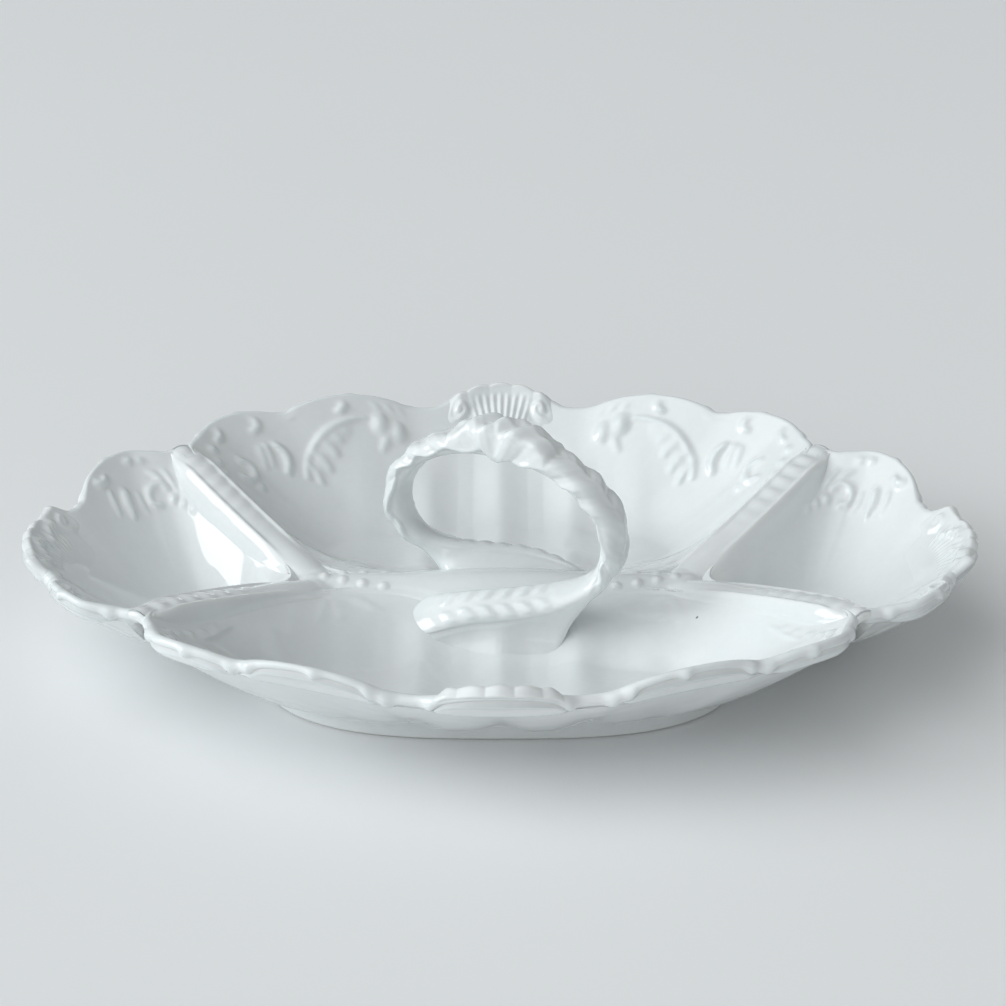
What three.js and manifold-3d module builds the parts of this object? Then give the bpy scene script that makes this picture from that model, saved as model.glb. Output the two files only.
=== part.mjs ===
// White glazed porcelain serving dish: four lobed wells parted by raised dividers, a foot ring,
// and a ribbon ring handle whose two leaf tails lie on the middle divider.
// Millimetres, +Z up, origin on the table under the middle, +X along the dish, -Y its front.
import * as THREE from 'three';
import Module from 'manifold-3d';

const wasm = await Module();
wasm.setup();

// Clearance between pieces that touch
const GAP = 0.3;

// Rim: a smooth oval through the notches, with lobes that stand out of it and rise
const RIM_HALF_LENGTH = 157;
const RIM_HALF_WIDTH = 117;
const RIM_HEIGHT = 46.4;
const SIDE_RIM_DROP = 8.5;
const BROAD_RIM_DROP = 5;
const RIM_DROP_SHARPNESS = 10;
const LOBE_ROUNDNESS = 0.65;
const RIM_STEP_DEGREES = 1.6;
const RIM_LEAST_STEP_DEGREES = 0.24;
const CORNER_SEARCH_STEPS = 24;

// Lobes of one quarter of the rim: degrees from the side's middle, reach out of the oval, and rise
const DIVIDER_ANGLE = 37.9;
const SIDE_SHELL_LOBE = { middle: 0, half: 12, reach: 9.5, rise: 4.8 };
const SIDE_SCROLL_LOBE = { middle: 25.3, half: 8.4, reach: 5.2, rise: 4.7 };
const DIVIDER_NOTCH = { middle: DIVIDER_ANGLE, half: 6.5, reach: -6, rise: 1.2 };
const CORNER_LOBE = { middle: 50.4, half: 7, reach: 3.8, rise: 3.2 };
const BROAD_SCROLL_LOBE = { middle: 67.3, half: 9, reach: 2.8, rise: 5.8 };
const BROAD_SHELL_LOBE = { middle: 90, half: 8, reach: 7.2, rise: 6.1 };
const LOBES = [
  SIDE_SHELL_LOBE, SIDE_SCROLL_LOBE, DIVIDER_NOTCH, CORNER_LOBE, BROAD_SCROLL_LOBE, BROAD_SHELL_LOBE,
];

// Wells
const WALL = 4.5;
const FLOOR_UNDERSIDE = 5;
const WALL_BOW = 1.4;
const LOBE_FADE = 1.4;
const WELL_RINGS = [-0.85, -0.55, -0.25, 0, 0.12, 0.28, 0.46, 0.64, 0.82, 1];
const STEEPEST_STRETCH = 1.7;

// Flutes that cross the broad wells from the spine to the rim, with a crest in the middle
const FLUTE_HEIGHT = 3;
const FLUTE_PITCH = 27;
const FLUTE_CREST_SOFTNESS = 0.2;
const FLUTES_FULL_HALF_LENGTH = 40;
const FLUTES_HALF_LENGTH = 75;
const FLUTE_FADE_START = 0.5;
const FLUTE_FADE_END = 0.95;

// Floors: flat ovals under the flutes, and the spread that steers the walls
const BROAD_FLOOR = { x: 0, y: 53, halfX: 62, halfY: 16, spreadX: 110, spreadY: 56, flute: FLUTE_HEIGHT };
const SIDE_FLOOR = { x: 105, y: 0, halfX: 11, halfY: 11, spreadX: 46, spreadY: 56, flute: 0 };

// Dividers: a spine along X and four arms that run out to the rim
const DIVIDER_WIDTH = 13;
const DIVIDER_DEPTH = 6;
const DIVIDER_CROWN = 1;
const JUNCTION_X = 66;
const JUNCTION_HEIGHT = 24;
const ARM_START_ANGLE = 45;
const ARM_LEAD = 38;
const ARM_TIP_REACH = 3;
const ARM_STEPS = 8;
const SPINE_WIDTH = 12;
const SPINE_SWELL = 16;
const SPINE_SWELL_CROWN = 3;
const SPINE_SWELL_HALF_LENGTH = 42;
const SPINE_DIP = 2;
const SPINE_STEPS = 28;
const SPINE_END_HALF_WIDTH = 0.5;

// Foot ring, a rounded oblong
const FOOT_HALF_LENGTH = 86;
const FOOT_HALF_WIDTH = 72;
const FOOT_SQUARENESS = 3;
const FOOT_THICKNESS = 6;
const FOOT_FLARE = 2;
const FOOT_FLARE_HEIGHT = 8;
const FOOT_SEGMENTS = 56;

// Handle: half of the ribbon's middle line, from its top down the right leg to the front tail's tip,
// measured from the ring's own upright axis. The other half is this one turned half round about it.
const HANDLE_X = 1.5;
const HANDLE_Y = -2.5;
const HALF_RIBBON = [
  [0, 0, 77],
  [16, -8.7, 74.5],
  [29, -15.8, 67],
  [36.5, -19.2, 55.5],
  [36.5, -20, 43.5],
  [30, -20.5, 33.5],
  [18, -20.7, 28.5],
  [4, -21, 26],
  [-10, -22.5, 24],
  [-22, -25.5, 19.5],
  [-29, -28.5, 15],
];
const RIBBON_WIDTH = 13;
const RIBBON_THICKNESS = 6.5;
const RING_TURN = -30;
const RING_MIDDLE_HEIGHT = 52;
const TAIL_LENGTH = 62;
const TAIL_TWIST_LENGTH = 62;
const TAIL_TILT = 35;
const TAIL_TIP_WIDTH = 5;
const TAIL_TAPER_POWER = 3;
const TAIL_ROOT = 20;
const TAIL_ROOT_RAMP = 14;
const RIBBON_STEPS = 44;
const RIBBON_SIDES = 12;
const RIBBON_SQUARENESS = 3;

// Leaf cluster on the handle's top
const HANDLE_CREST_HEIGHT = 5.5;
const HANDLE_CREST_END_HEIGHT = 0.8;
const HANDLE_CREST_WIDTH = 14;
const HANDLE_CREST_END_WIDTH = 5;
const HANDLE_CREST_HALF_LENGTH = 17;
const HANDLE_CREST_BED_HALF_LENGTH = 27;
const HANDLE_CREST_SINK = 1;
const HANDLE_CREST_LOBES = 5;
const HANDLE_CREST_LOBE_DEPTH = 1.4;
const HANDLE_CREST_STEPS = 20;
const HANDLE_CREST_SHOULDER = { across: 0.8, up: 0.6 };

// Fan shells on the rim
const SHELL_DEPTH_SHARE = 0.42;
const SHELL_HEIGHT = 3.2;
const SHELL_RIBS = 7;
const SHELL_RIB_DEPTH = 0.9;
const SHELL_STEPS_PER_RIB = 4;
const SHELL_RINGS = 5;
const SHELL_EDGE_INSET = 1.5;
const SHELL_LIFT = 0.8;
const SHELL_FOOT_SPREAD = 0.35;
const SHELL_LIP_SPREAD = 0.92;
const SHELL_CORNER_DROP = 0.35;
const SHELL_EDGE_DOME = 0.5;
const SHELL_FOOT_DOME = 0.6;

const PORCELAIN = { color: 0xf1f4f4, roughness: 0.12, metalness: 0 };
const BISCUIT = { color: 0xe8e6df, roughness: 0.7, metalness: 0 };

const radians = THREE.MathUtils.degToRad;
const lerp = THREE.MathUtils.lerp;

// Closed solid from rings of equal length, each joined to the next; open ends are capped at their middle.
function skin(rings, looped = false) {
  const count = rings[0].length;
  const points = rings.flat();
  const triangles = [];
  const last = looped ? rings.length : rings.length - 1;
  for (let i = 0; i < last; i += 1) {
    const near = i * count;
    const far = ((i + 1) % rings.length) * count;
    for (let k = 0; k < count; k += 1) {
      const next = (k + 1) % count;
      triangles.push(near + k, near + next, far + next);
      triangles.push(near + k, far + next, far + k);
    }
  }
  if (!looped) {
    capEnd(points, triangles, 0, rings[0], true);
    capEnd(points, triangles, (rings.length - 1) * count, rings[rings.length - 1], false);
  }
  return facingOut(points, triangles);
}

function capEnd(points, triangles, start, ring, reversed) {
  const middle = new THREE.Vector3();
  ring.forEach((point) => middle.add(point));
  middle.divideScalar(ring.length);
  const centre = points.push(middle) - 1;
  for (let k = 0; k < ring.length; k += 1) {
    const here = start + k;
    const next = start + ((k + 1) % ring.length);
    triangles.push(centre, reversed ? next : here, reversed ? here : next);
  }
}

function facingOut(points, triangles) {
  let volume = 0;
  for (let i = 0; i < triangles.length; i += 3) {
    const [a, b, c] = [0, 1, 2].map((corner) => points[triangles[i + corner]]);
    volume += a.dot(new THREE.Vector3().crossVectors(b, c));
  }
  if (volume < 0) {
    triangles.reverse();
  }
  const geometry = new THREE.BufferGeometry();
  const positions = points.flatMap((point) => [point.x, point.y, point.z]);
  geometry.setAttribute('position', new THREE.Float32BufferAttribute(positions, 3));
  geometry.setIndex(triangles);
  return geometry;
}

function toSolid(geometry) {
  const vertProperties = new Float32Array(geometry.attributes.position.array);
  const triVerts = new Uint32Array(geometry.index.array);
  return new wasm.Manifold(new wasm.Mesh({ numProp: 3, vertProperties, triVerts }));
}

function fromSolid(solid) {
  const mesh = solid.getMesh();
  const geometry = new THREE.BufferGeometry();
  geometry.setAttribute('position', new THREE.BufferAttribute(mesh.vertProperties, 3));
  geometry.setIndex(new THREE.BufferAttribute(mesh.triVerts, 1));
  return geometry;
}

function cutAway(geometry, cutters) {
  let solid = toSolid(geometry);
  cutters.forEach((cutter) => {
    solid = solid.subtract(toSolid(cutter));
  });
  return fromSolid(solid);
}

// Rim at an angle of the oval: its plain edge, and the lobe's offset from it
function foldedDegrees(angle) {
  return THREE.MathUtils.radToDeg(Math.atan2(Math.abs(Math.sin(angle)), Math.abs(Math.cos(angle))));
}

function lobesAt(angle) {
  const folded = foldedDegrees(angle);
  const sum = { reach: 0, rise: 0 };
  LOBES.forEach((lobe) => {
    const across = (folded - lobe.middle) / lobe.half;
    const bulge = Math.pow(Math.max(0, 1 - across * across), LOBE_ROUNDNESS);
    sum.reach += lobe.reach * bulge;
    sum.rise += lobe.rise * bulge;
  });
  return sum;
}

function rimHeight(angle) {
  const atSide = Math.pow(Math.abs(Math.cos(angle)), RIM_DROP_SHARPNESS);
  const atMiddle = Math.pow(Math.abs(Math.sin(angle)), RIM_DROP_SHARPNESS);
  return RIM_HEIGHT - SIDE_RIM_DROP * atSide - BROAD_RIM_DROP * atMiddle;
}

function rimEdge(angle) {
  const base = new THREE.Vector2(RIM_HALF_LENGTH * Math.cos(angle), RIM_HALF_WIDTH * Math.sin(angle));
  const outward = new THREE.Vector2(Math.cos(angle) / RIM_HALF_LENGTH, Math.sin(angle) / RIM_HALF_WIDTH);
  const { reach, rise } = lobesAt(angle);
  const lobe = outward.normalize().multiplyScalar(reach);
  return { base, lobe, height: rimHeight(angle), rise };
}

// Angles along the rim, stepped evenly between the ends of the lobes
function rimAngles(from, to) {
  const breaks = [from, to];
  LOBES.forEach((lobe) => {
    [lobe.middle - lobe.half, lobe.middle + lobe.half].forEach((edge) => {
      [edge, 180 - edge, edge - 180, -edge].forEach((degrees) => {
        const angle = radians(degrees);
        if (angle > from && angle < to) {
          breaks.push(angle);
        }
      });
    });
  });
  breaks.sort((a, b) => a - b);
  const angles = [from];
  for (let i = 1; i < breaks.length; i += 1) {
    const steps = Math.ceil((breaks[i] - breaks[i - 1]) / radians(RIM_STEP_DEGREES));
    for (let j = 1; j <= steps; j += 1) {
      angles.push(lerp(breaks[i - 1], breaks[i], j / steps));
    }
  }
  return angles.filter((angle, i) => i === 0 || angle - angles[i - 1] > radians(RIM_LEAST_STEP_DEGREES));
}

// The arm in the quarter with X and Y positive, from the spine's end to the rim
const ARM_DIRECTION = new THREE.Vector2(Math.cos(radians(ARM_START_ANGLE)), Math.sin(radians(ARM_START_ANGLE)));
const ARM_START = new THREE.Vector2(JUNCTION_X, ARM_DIRECTION.x * DIVIDER_WIDTH / 2 + GAP / 2);
const ARM_RIM = rimEdge(radians(DIVIDER_ANGLE));
const ARM_END = ARM_RIM.base.clone().add(ARM_RIM.lobe);
const ARM_CURVE = new THREE.QuadraticBezierCurve(
  ARM_START, ARM_START.clone().addScaledVector(ARM_DIRECTION, ARM_LEAD), ARM_END);
const ARM_END_HEIGHT = ARM_RIM.height + ARM_RIM.rise;

function armHeight(t) {
  return lerp(JUNCTION_HEIGHT, ARM_END_HEIGHT, t);
}

// Point beside the arm's middle line, positive towards the side well
function besideArm(t, offset) {
  const along = ARM_CURVE.getTangent(t);
  return ARM_CURVE.getPoint(t).add(new THREE.Vector2(along.y, -along.x).multiplyScalar(offset));
}

function plainEdge(point, height) {
  return { base: point, lobe: new THREE.Vector2(), height, rise: 0 };
}

function armEdges(offset, fromEnd) {
  const edges = [];
  for (let i = 1; i <= ARM_STEPS; i += 1) {
    const t = fromEnd ? 1 - i / ARM_STEPS : i / ARM_STEPS;
    edges.push(plainEdge(besideArm(t, offset), armHeight(t)));
  }
  return edges;
}

// The spine
function spineSwell(x) {
  const across = Math.min(1, Math.abs(x) / SPINE_SWELL_HALF_LENGTH);
  return Math.pow(Math.cos(across * Math.PI / 2), 2);
}

function spineHalfWidth(x) {
  return (SPINE_WIDTH + SPINE_SWELL * spineSwell(x)) / 2;
}

function spineHeight(x) {
  return JUNCTION_HEIGHT - SPINE_DIP * spineSwell(x);
}

const SPINE_CORNER = besideArm(0, -DIVIDER_WIDTH / 2).addScaledVector(ARM_DIRECTION, -GAP);
const SPINE_STRAIGHT = SPINE_CORNER.x - DIVIDER_WIDTH;

function spineStations() {
  const stations = [];
  for (let i = 0; i <= SPINE_STEPS; i += 1) {
    stations.push(lerp(-SPINE_STRAIGHT, SPINE_STRAIGHT, i / SPINE_STEPS));
  }
  return stations;
}

// Outlines of the back well and the right well, as rings of edges round the floor
const ARM_CLEARANCE = DIVIDER_WIDTH / 2 + GAP;

function mirrorX(edge) {
  const base = new THREE.Vector2(-edge.base.x, edge.base.y);
  const lobe = new THREE.Vector2(-edge.lobe.x, edge.lobe.y);
  return { ...edge, base, lobe };
}

function mirrorY(edge) {
  const base = new THREE.Vector2(edge.base.x, -edge.base.y);
  const lobe = new THREE.Vector2(edge.lobe.x, -edge.lobe.y);
  return { ...edge, base, lobe };
}

// Angle at which the rim passes the arm's end at this distance beside its middle line
function rimCorner(offset) {
  const along = ARM_CURVE.getTangent(1);
  const across = new THREE.Vector2(along.y, -along.x);
  let near = radians(DIVIDER_ANGLE);
  let far = near - Math.sign(offset) * Math.PI / 4;
  for (let i = 0; i < CORNER_SEARCH_STEPS; i += 1) {
    const middle = (near + far) / 2;
    const edge = rimEdge(middle);
    const beside = edge.base.add(edge.lobe).sub(ARM_END).dot(across);
    if (Math.abs(beside) < Math.abs(offset)) {
      near = middle;
    } else {
      far = middle;
    }
  }
  return far;
}

function backOutline() {
  const corner = rimCorner(-ARM_CLEARANCE);
  const rim = rimAngles(corner, Math.PI - corner).map(rimEdge);
  const down = armEdges(-ARM_CLEARANCE, true).map(mirrorX);
  const spine = spineStations().map((x) => {
    const point = new THREE.Vector2(x, spineHalfWidth(x) + GAP);
    return plainEdge(point, spineHeight(x));
  });
  const start = plainEdge(besideArm(0, -ARM_CLEARANCE), JUNCTION_HEIGHT);
  const up = armEdges(-ARM_CLEARANCE, false).slice(0, -1);
  return [...rim, ...down, ...spine, start, ...up];
}

function rightOutline() {
  const corner = rimCorner(ARM_CLEARANCE);
  const rim = rimAngles(-corner, corner).map(rimEdge);
  const back = armEdges(ARM_CLEARANCE, true).slice(0, -1);
  const tipX = besideArm(0, DIVIDER_WIDTH / 2).x + GAP / ARM_DIRECTION.x;
  const tip = plainEdge(new THREE.Vector2(tipX, 0), JUNCTION_HEIGHT);
  const front = armEdges(ARM_CLEARANCE, false).slice(0, -1).map(mirrorY);
  return [...rim, ...back, tip, ...front];
}

// One well: its outline, and an oval floor that the walls rise from
const FLOOR_TOP = FLOOR_UNDERSIDE + WALL;

function floorPoint(edge, floor) {
  const angle = Math.atan2((edge.base.y - floor.y) / floor.spreadY, (edge.base.x - floor.x) / floor.spreadX);
  return new THREE.Vector2(floor.x + floor.halfX * Math.cos(angle), floor.y + floor.halfY * Math.sin(angle));
}

function flute(x, floor, climb) {
  const wave = Math.sin(Math.PI * x / FLUTE_PITCH);
  const crest = Math.max(0, 1 - Math.hypot(wave, FLUTE_CREST_SOFTNESS));
  const middle = 1 - THREE.MathUtils.smoothstep(Math.abs(x), FLUTES_FULL_HALF_LENGTH, FLUTES_HALF_LENGTH);
  const low = 1 - THREE.MathUtils.smoothstep(climb, FLUTE_FADE_START, FLUTE_FADE_END);
  return floor.flute * crest * middle * low;
}

// Point of the upper face, a share of the way from the floor's edge to the rim; below 0 it is on the floor
function wellPoint(edge, floor, share) {
  const climb = Math.max(0, share);
  const inward = Math.max(0, -share);
  const fade = Math.pow(climb, LOBE_FADE);
  const plan = floorPoint(edge, floor).lerp(new THREE.Vector2(floor.x, floor.y), inward);
  plan.lerp(edge.base, climb).addScaledVector(edge.lobe, fade);
  const wall = (edge.height - FLOOR_TOP) * Math.pow(climb, WALL_BOW) + edge.rise * fade;
  return new THREE.Vector3(plan.x, plan.y, FLOOR_TOP + wall + flute(plan.x, floor, climb));
}

function wallStretch(edge, floor, share) {
  const run = floorPoint(edge, floor).distanceTo(edge.base) + edge.lobe.length();
  const rise = edge.height + edge.rise - FLOOR_TOP;
  const slope = rise * Math.pow(Math.max(0, share), WALL_BOW - 1) / run;
  return Math.min(STEEPEST_STRETCH, Math.hypot(1, slope));
}

function wellTop(outline, floor, lift) {
  return WELL_RINGS.map((share) => outline.map((edge) => {
    const point = wellPoint(edge, floor, share);
    return point.setZ(point.z + lift);
  }));
}

function wellUnderside(outline, floor, lift) {
  return WELL_RINGS.map((share) => outline.map((edge) => {
    const point = wellPoint(edge, floor, share);
    return point.setZ(point.z - WALL * wallStretch(edge, floor, share) + lift);
  }));
}

function levelRing(outline, height) {
  return outline.map((edge) => {
    const plan = edge.base.clone().add(edge.lobe);
    return new THREE.Vector3(plan.x, plan.y, height);
  });
}

function wellGeometry(outline, floor) {
  return skin([...wellTop(outline, floor, 0), ...wellUnderside(outline, floor, 0).reverse()]);
}

// Everything below the well's upper face, with the clearance, for cutting what lies on it
function wellBed(outline, floor) {
  return skin([...wellTop(outline, floor, GAP), levelRing(outline, -TAIL_ROOT)]);
}

// Everything above the well's underside, with the clearance, for cutting what it stands on
function wellCeiling(outline, floor) {
  return skin([levelRing(outline, 2 * RIM_HEIGHT), ...wellUnderside(outline, floor, -GAP).reverse()]);
}

// Dividers: bars with upright sides and a crowned top, as sections along their length
function barSection(left, right, height, depth, crown) {
  const middle = left.clone().lerp(right, 0.5);
  return [
    new THREE.Vector3(left.x, left.y, height - depth),
    new THREE.Vector3(left.x, left.y, height),
    new THREE.Vector3(middle.x, middle.y, height + crown),
    new THREE.Vector3(right.x, right.y, height),
    new THREE.Vector3(right.x, right.y, height - depth),
  ];
}

function armSections(spread, depth, lift) {
  const sections = [];
  const half = DIVIDER_WIDTH / 2 + spread;
  for (let i = 0; i <= ARM_STEPS; i += 1) {
    const t = i / ARM_STEPS;
    const height = armHeight(t) + lift;
    sections.push(barSection(besideArm(t, -half), besideArm(t, half), height, depth, DIVIDER_CROWN));
  }
  const along = ARM_CURVE.getTangent(1).multiplyScalar(ARM_TIP_REACH);
  const left = besideArm(1, -half / 2).add(along);
  const right = besideArm(1, half / 2).add(along);
  sections.push(barSection(left, right, ARM_END_HEIGHT + lift, depth, DIVIDER_CROWN));
  return sections;
}

function spineSections(spread, depth, lift) {
  const apex = JUNCTION_X + (ARM_START.y * ARM_DIRECTION.y - GAP) / ARM_DIRECTION.x - SPINE_END_HALF_WIDTH;
  const corner = { x: SPINE_CORNER.x, half: SPINE_CORNER.y };
  const end = { x: apex, half: SPINE_END_HALF_WIDTH };
  const straight = spineStations().map((x) => ({ x, half: spineHalfWidth(x) }));
  const mirrored = [end, corner].map((station) => ({ x: -station.x, half: station.half }));
  return [...mirrored, ...straight, corner, end].map(({ x, half }) => {
    const left = new THREE.Vector2(x, half + spread);
    const right = new THREE.Vector2(x, -half - spread);
    const crown = DIVIDER_CROWN + SPINE_SWELL_CROWN * spineSwell(x);
    return barSection(left, right, spineHeight(x) + lift, depth, crown);
  });
}

function mirrored(sections, flipX, flipY) {
  const flip = new THREE.Vector3(flipX, flipY, 1);
  return sections.map((section) => section.map((point) => point.clone().multiply(flip)));
}

// Foot ring, cut to the undersides of the wells and the dividers
function footRing(cutters) {
  const top = JUNCTION_HEIGHT + DIVIDER_DEPTH;
  const levels = [
    { z: 0, inset: FOOT_THICKNESS, flare: 0 },
    { z: 0, inset: 0, flare: 0 },
    { z: FOOT_FLARE_HEIGHT, inset: 0, flare: FOOT_FLARE },
    { z: top, inset: 0, flare: FOOT_FLARE },
    { z: top, inset: FOOT_THICKNESS, flare: FOOT_FLARE },
  ];
  const rings = [];
  for (let i = 0; i < FOOT_SEGMENTS; i += 1) {
    const angle = 2 * Math.PI * i / FOOT_SEGMENTS;
    const c = Math.cos(angle);
    const s = Math.sin(angle);
    const sum = Math.abs(c) ** FOOT_SQUARENESS + Math.abs(s) ** FOOT_SQUARENESS;
    const reach = Math.pow(sum, -1 / FOOT_SQUARENESS);
    rings.push(levels.map(({ z, inset, flare }) => {
      const x = (FOOT_HALF_LENGTH + flare - inset) * reach * c;
      const y = (FOOT_HALF_WIDTH + flare - inset) * reach * s;
      return new THREE.Vector3(x, y, z);
    }));
  }
  return cutAway(skin(rings, true), cutters);
}

// Handle ribbon
function ribbonPoint([x, y, z], turned) {
  const way = turned ? -1 : 1;
  return new THREE.Vector3(HANDLE_X + way * x, HANDLE_Y + way * y, z);
}

const RIBBON_CURVE = new THREE.CatmullRomCurve3([
  ...HALF_RIBBON.slice(1).reverse().map((point) => ribbonPoint(point, false)),
  ...HALF_RIBBON.map((point) => ribbonPoint(point, true)),
], false, 'centripetal');

// Share of the whole ribbon that lies in one tail
const RIBBON_LENGTH = RIBBON_CURVE.getLength();
const TAIL_SHARE = TAIL_LENGTH / RIBBON_LENGTH;
const RING_RIGHT = new THREE.Vector3(Math.cos(radians(RING_TURN)), Math.sin(radians(RING_TURN)), 0);

// Middle of the ribbon, the way its outer face looks, and the way across it
function ribbonFrame(u) {
  const middle = RIBBON_CURVE.getPointAt(u);
  const along = RIBBON_CURVE.getTangentAt(u);
  const aside = new THREE.Vector3(middle.x - HANDLE_X, middle.y - HANDLE_Y, 0).dot(RING_RIGHT);
  const outward = RING_RIGHT.clone().multiplyScalar(aside);
  outward.setZ(middle.z - RING_MIDDLE_HEIGHT).normalize();
  const side = u < 0.5 ? 1 : -1;
  const tilt = radians(TAIL_TILT);
  const under = new THREE.Vector3(0, side * Math.sin(tilt), -Math.cos(tilt));
  const fromTip = Math.min(u, 1 - u) * RIBBON_LENGTH;
  const leg = THREE.MathUtils.smoothstep(fromTip, TAIL_LENGTH / 2, TAIL_LENGTH / 2 + TAIL_TWIST_LENGTH);
  outward.lerp(under, 1 - leg);
  outward.addScaledVector(along, -outward.dot(along)).normalize();
  const across = new THREE.Vector3().crossVectors(along, outward);
  return { middle, outward, across };
}

// A tail narrows to its tip, and has a root that reaches down to what it lies on
function ribbonSize(u) {
  const inTail = Math.max(0, TAIL_LENGTH - Math.min(u, 1 - u) * RIBBON_LENGTH);
  return {
    width: lerp(RIBBON_WIDTH, TAIL_TIP_WIDTH, (inTail / TAIL_LENGTH) ** TAIL_TAPER_POWER),
    root: TAIL_ROOT * Math.min(1, inTail / TAIL_ROOT_RAMP),
  };
}

function ribbonSection(u, spread) {
  const { middle, outward, across } = ribbonFrame(u);
  const { width, root } = ribbonSize(u);
  const section = [];
  for (let k = 0; k < RIBBON_SIDES; k += 1) {
    const angle = 2 * Math.PI * (k + 0.5) / RIBBON_SIDES;
    const c = Math.cos(angle);
    const s = Math.sin(angle);
    const sum = Math.abs(c) ** RIBBON_SQUARENESS + Math.abs(s) ** RIBBON_SQUARENESS;
    const reach = Math.pow(sum, -1 / RIBBON_SQUARENESS);
    const depth = RIBBON_THICKNESS / 2 + spread + (s > 0 ? root : 0);
    const point = middle.clone();
    point.addScaledVector(across, (width / 2 + spread) * reach * c);
    point.addScaledVector(outward, depth * reach * s);
    section.push(point);
  }
  return section;
}

function ribbonStretch(from, to, spread = 0) {
  const steps = Math.max(2, Math.round(RIBBON_STEPS * (to - from)));
  const sections = [];
  for (let i = 0; i <= steps; i += 1) {
    sections.push(ribbonSection(lerp(from, to, i / steps), spread));
  }
  return skin(sections);
}

// Leaf cluster on the ribbon's outer face, highest in the middle and scalloped along its length
function handleCrest() {
  const sections = [];
  for (let i = 0; i <= HANDLE_CREST_STEPS; i += 1) {
    const across = lerp(-1, 1, i / HANDLE_CREST_STEPS);
    const frame = ribbonFrame(0.5 + across * HANDLE_CREST_HALF_LENGTH / RIBBON_LENGTH);
    const dome = Math.sqrt(Math.max(0, 1 - across * across));
    const scallop = Math.abs(Math.sin(across * HANDLE_CREST_LOBES * Math.PI / 2));
    const crest = lerp(HANDLE_CREST_END_HEIGHT, HANDLE_CREST_HEIGHT, dome);
    const height = crest - HANDLE_CREST_LOBE_DEPTH * scallop * dome;
    const half = lerp(HANDLE_CREST_END_WIDTH, HANDLE_CREST_WIDTH, dome) / 2;
    const shoulder = half * HANDLE_CREST_SHOULDER.across;
    const side = height * HANDLE_CREST_SHOULDER.up;
    const profile = [
      [-half, -HANDLE_CREST_SINK], [-shoulder, side], [0, height], [shoulder, side], [half, -HANDLE_CREST_SINK],
    ];
    sections.push(profile.map(([aside, rise]) => frame.middle.clone()
      .addScaledVector(frame.across, aside)
      .addScaledVector(frame.outward, RIBBON_THICKNESS / 2 + rise)));
  }
  const reach = HANDLE_CREST_BED_HALF_LENGTH / RIBBON_LENGTH;
  return cutAway(skin(sections), [ribbonStretch(0.5 - reach, 0.5 + reach, GAP)]);
}

// Fan shell just over the inside of the rim, ribbed from its foot to the lip
function rimShell(lobe, turn, floor) {
  const steps = SHELL_RIBS * SHELL_STEPS_PER_RIB;
  const sections = [];
  for (let i = 0; i <= steps; i += 1) {
    const across = lerp(-1, 1, i / steps);
    const rib = Math.abs(Math.cos(across * SHELL_RIBS * Math.PI / 2));
    const crest = (SHELL_HEIGHT - SHELL_RIB_DEPTH * (1 - rib)) * lerp(1, SHELL_EDGE_DOME, across ** 4);
    const upper = [];
    const lower = [];
    for (let j = 0; j <= SHELL_RINGS; j += 1) {
      const up = j / SHELL_RINGS;
      const spread = lerp(SHELL_FOOT_SPREAD, SHELL_LIP_SPREAD, Math.sqrt(up));
      const edge = rimEdge(turn + radians(lobe.half) * across * spread);
      const run = edge.base.distanceTo(floorPoint(edge, floor));
      const fan = 1 - SHELL_CORNER_DROP * across * across * up;
      const share = lerp(1 - SHELL_DEPTH_SHARE, 1 - SHELL_EDGE_INSET / run, up * fan);
      const point = wellPoint(edge, floor, share);
      lower.push(point.clone().setZ(point.z + SHELL_LIFT));
      upper.push(point.clone().setZ(point.z + SHELL_LIFT + crest * lerp(SHELL_FOOT_DOME, 1, Math.sqrt(up))));
    }
    sections.push([...upper, ...lower.reverse()]);
  }
  return skin(sections);
}

// The assembly
const dish = new THREE.Group();

function addPiece(name, geometry, finish) {
  const mesh = new THREE.Mesh(geometry, new THREE.MeshStandardMaterial(finish));
  mesh.name = name;
  dish.add(mesh);
  return geometry;
}

const BACK = backOutline();
const RIGHT = rightOutline();
const FRONT_FLOOR = { ...BROAD_FLOOR, y: -BROAD_FLOOR.y };
const LEFT_FLOOR = { ...SIDE_FLOOR, x: -SIDE_FLOOR.x };
const WELLS = [
  { side: 'front', outline: BACK.map(mirrorY), floor: FRONT_FLOOR, lobe: BROAD_SHELL_LOBE, turn: -Math.PI / 2 },
  { side: 'back', outline: BACK, floor: BROAD_FLOOR, lobe: BROAD_SHELL_LOBE, turn: Math.PI / 2 },
  { side: 'left', outline: RIGHT.map(mirrorX), floor: LEFT_FLOOR, lobe: SIDE_SHELL_LOBE, turn: Math.PI },
  { side: 'right', outline: RIGHT, floor: SIDE_FLOOR, lobe: SIDE_SHELL_LOBE, turn: 0 },
];
WELLS.forEach(({ side, outline, floor, lobe, turn }) => {
  addPiece(`well_${side}`, wellGeometry(outline, floor), PORCELAIN);
  addPiece(`rim_shell_${side}`, rimShell(lobe, turn, floor), PORCELAIN);
});

const ARMS = [
  { name: 'front_left', flipX: -1, flipY: -1 },
  { name: 'front_right', flipX: 1, flipY: -1 },
  { name: 'back_left', flipX: -1, flipY: 1 },
  { name: 'back_right', flipX: 1, flipY: 1 },
];
ARMS.forEach(({ name, flipX, flipY }) => {
  const sections = mirrored(armSections(0, DIVIDER_DEPTH, 0), flipX, flipY);
  addPiece(`divider_arm_${name}`, skin(sections), PORCELAIN);
});
addPiece('divider_spine', skin(spineSections(0, DIVIDER_DEPTH, 0)), PORCELAIN);

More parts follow.
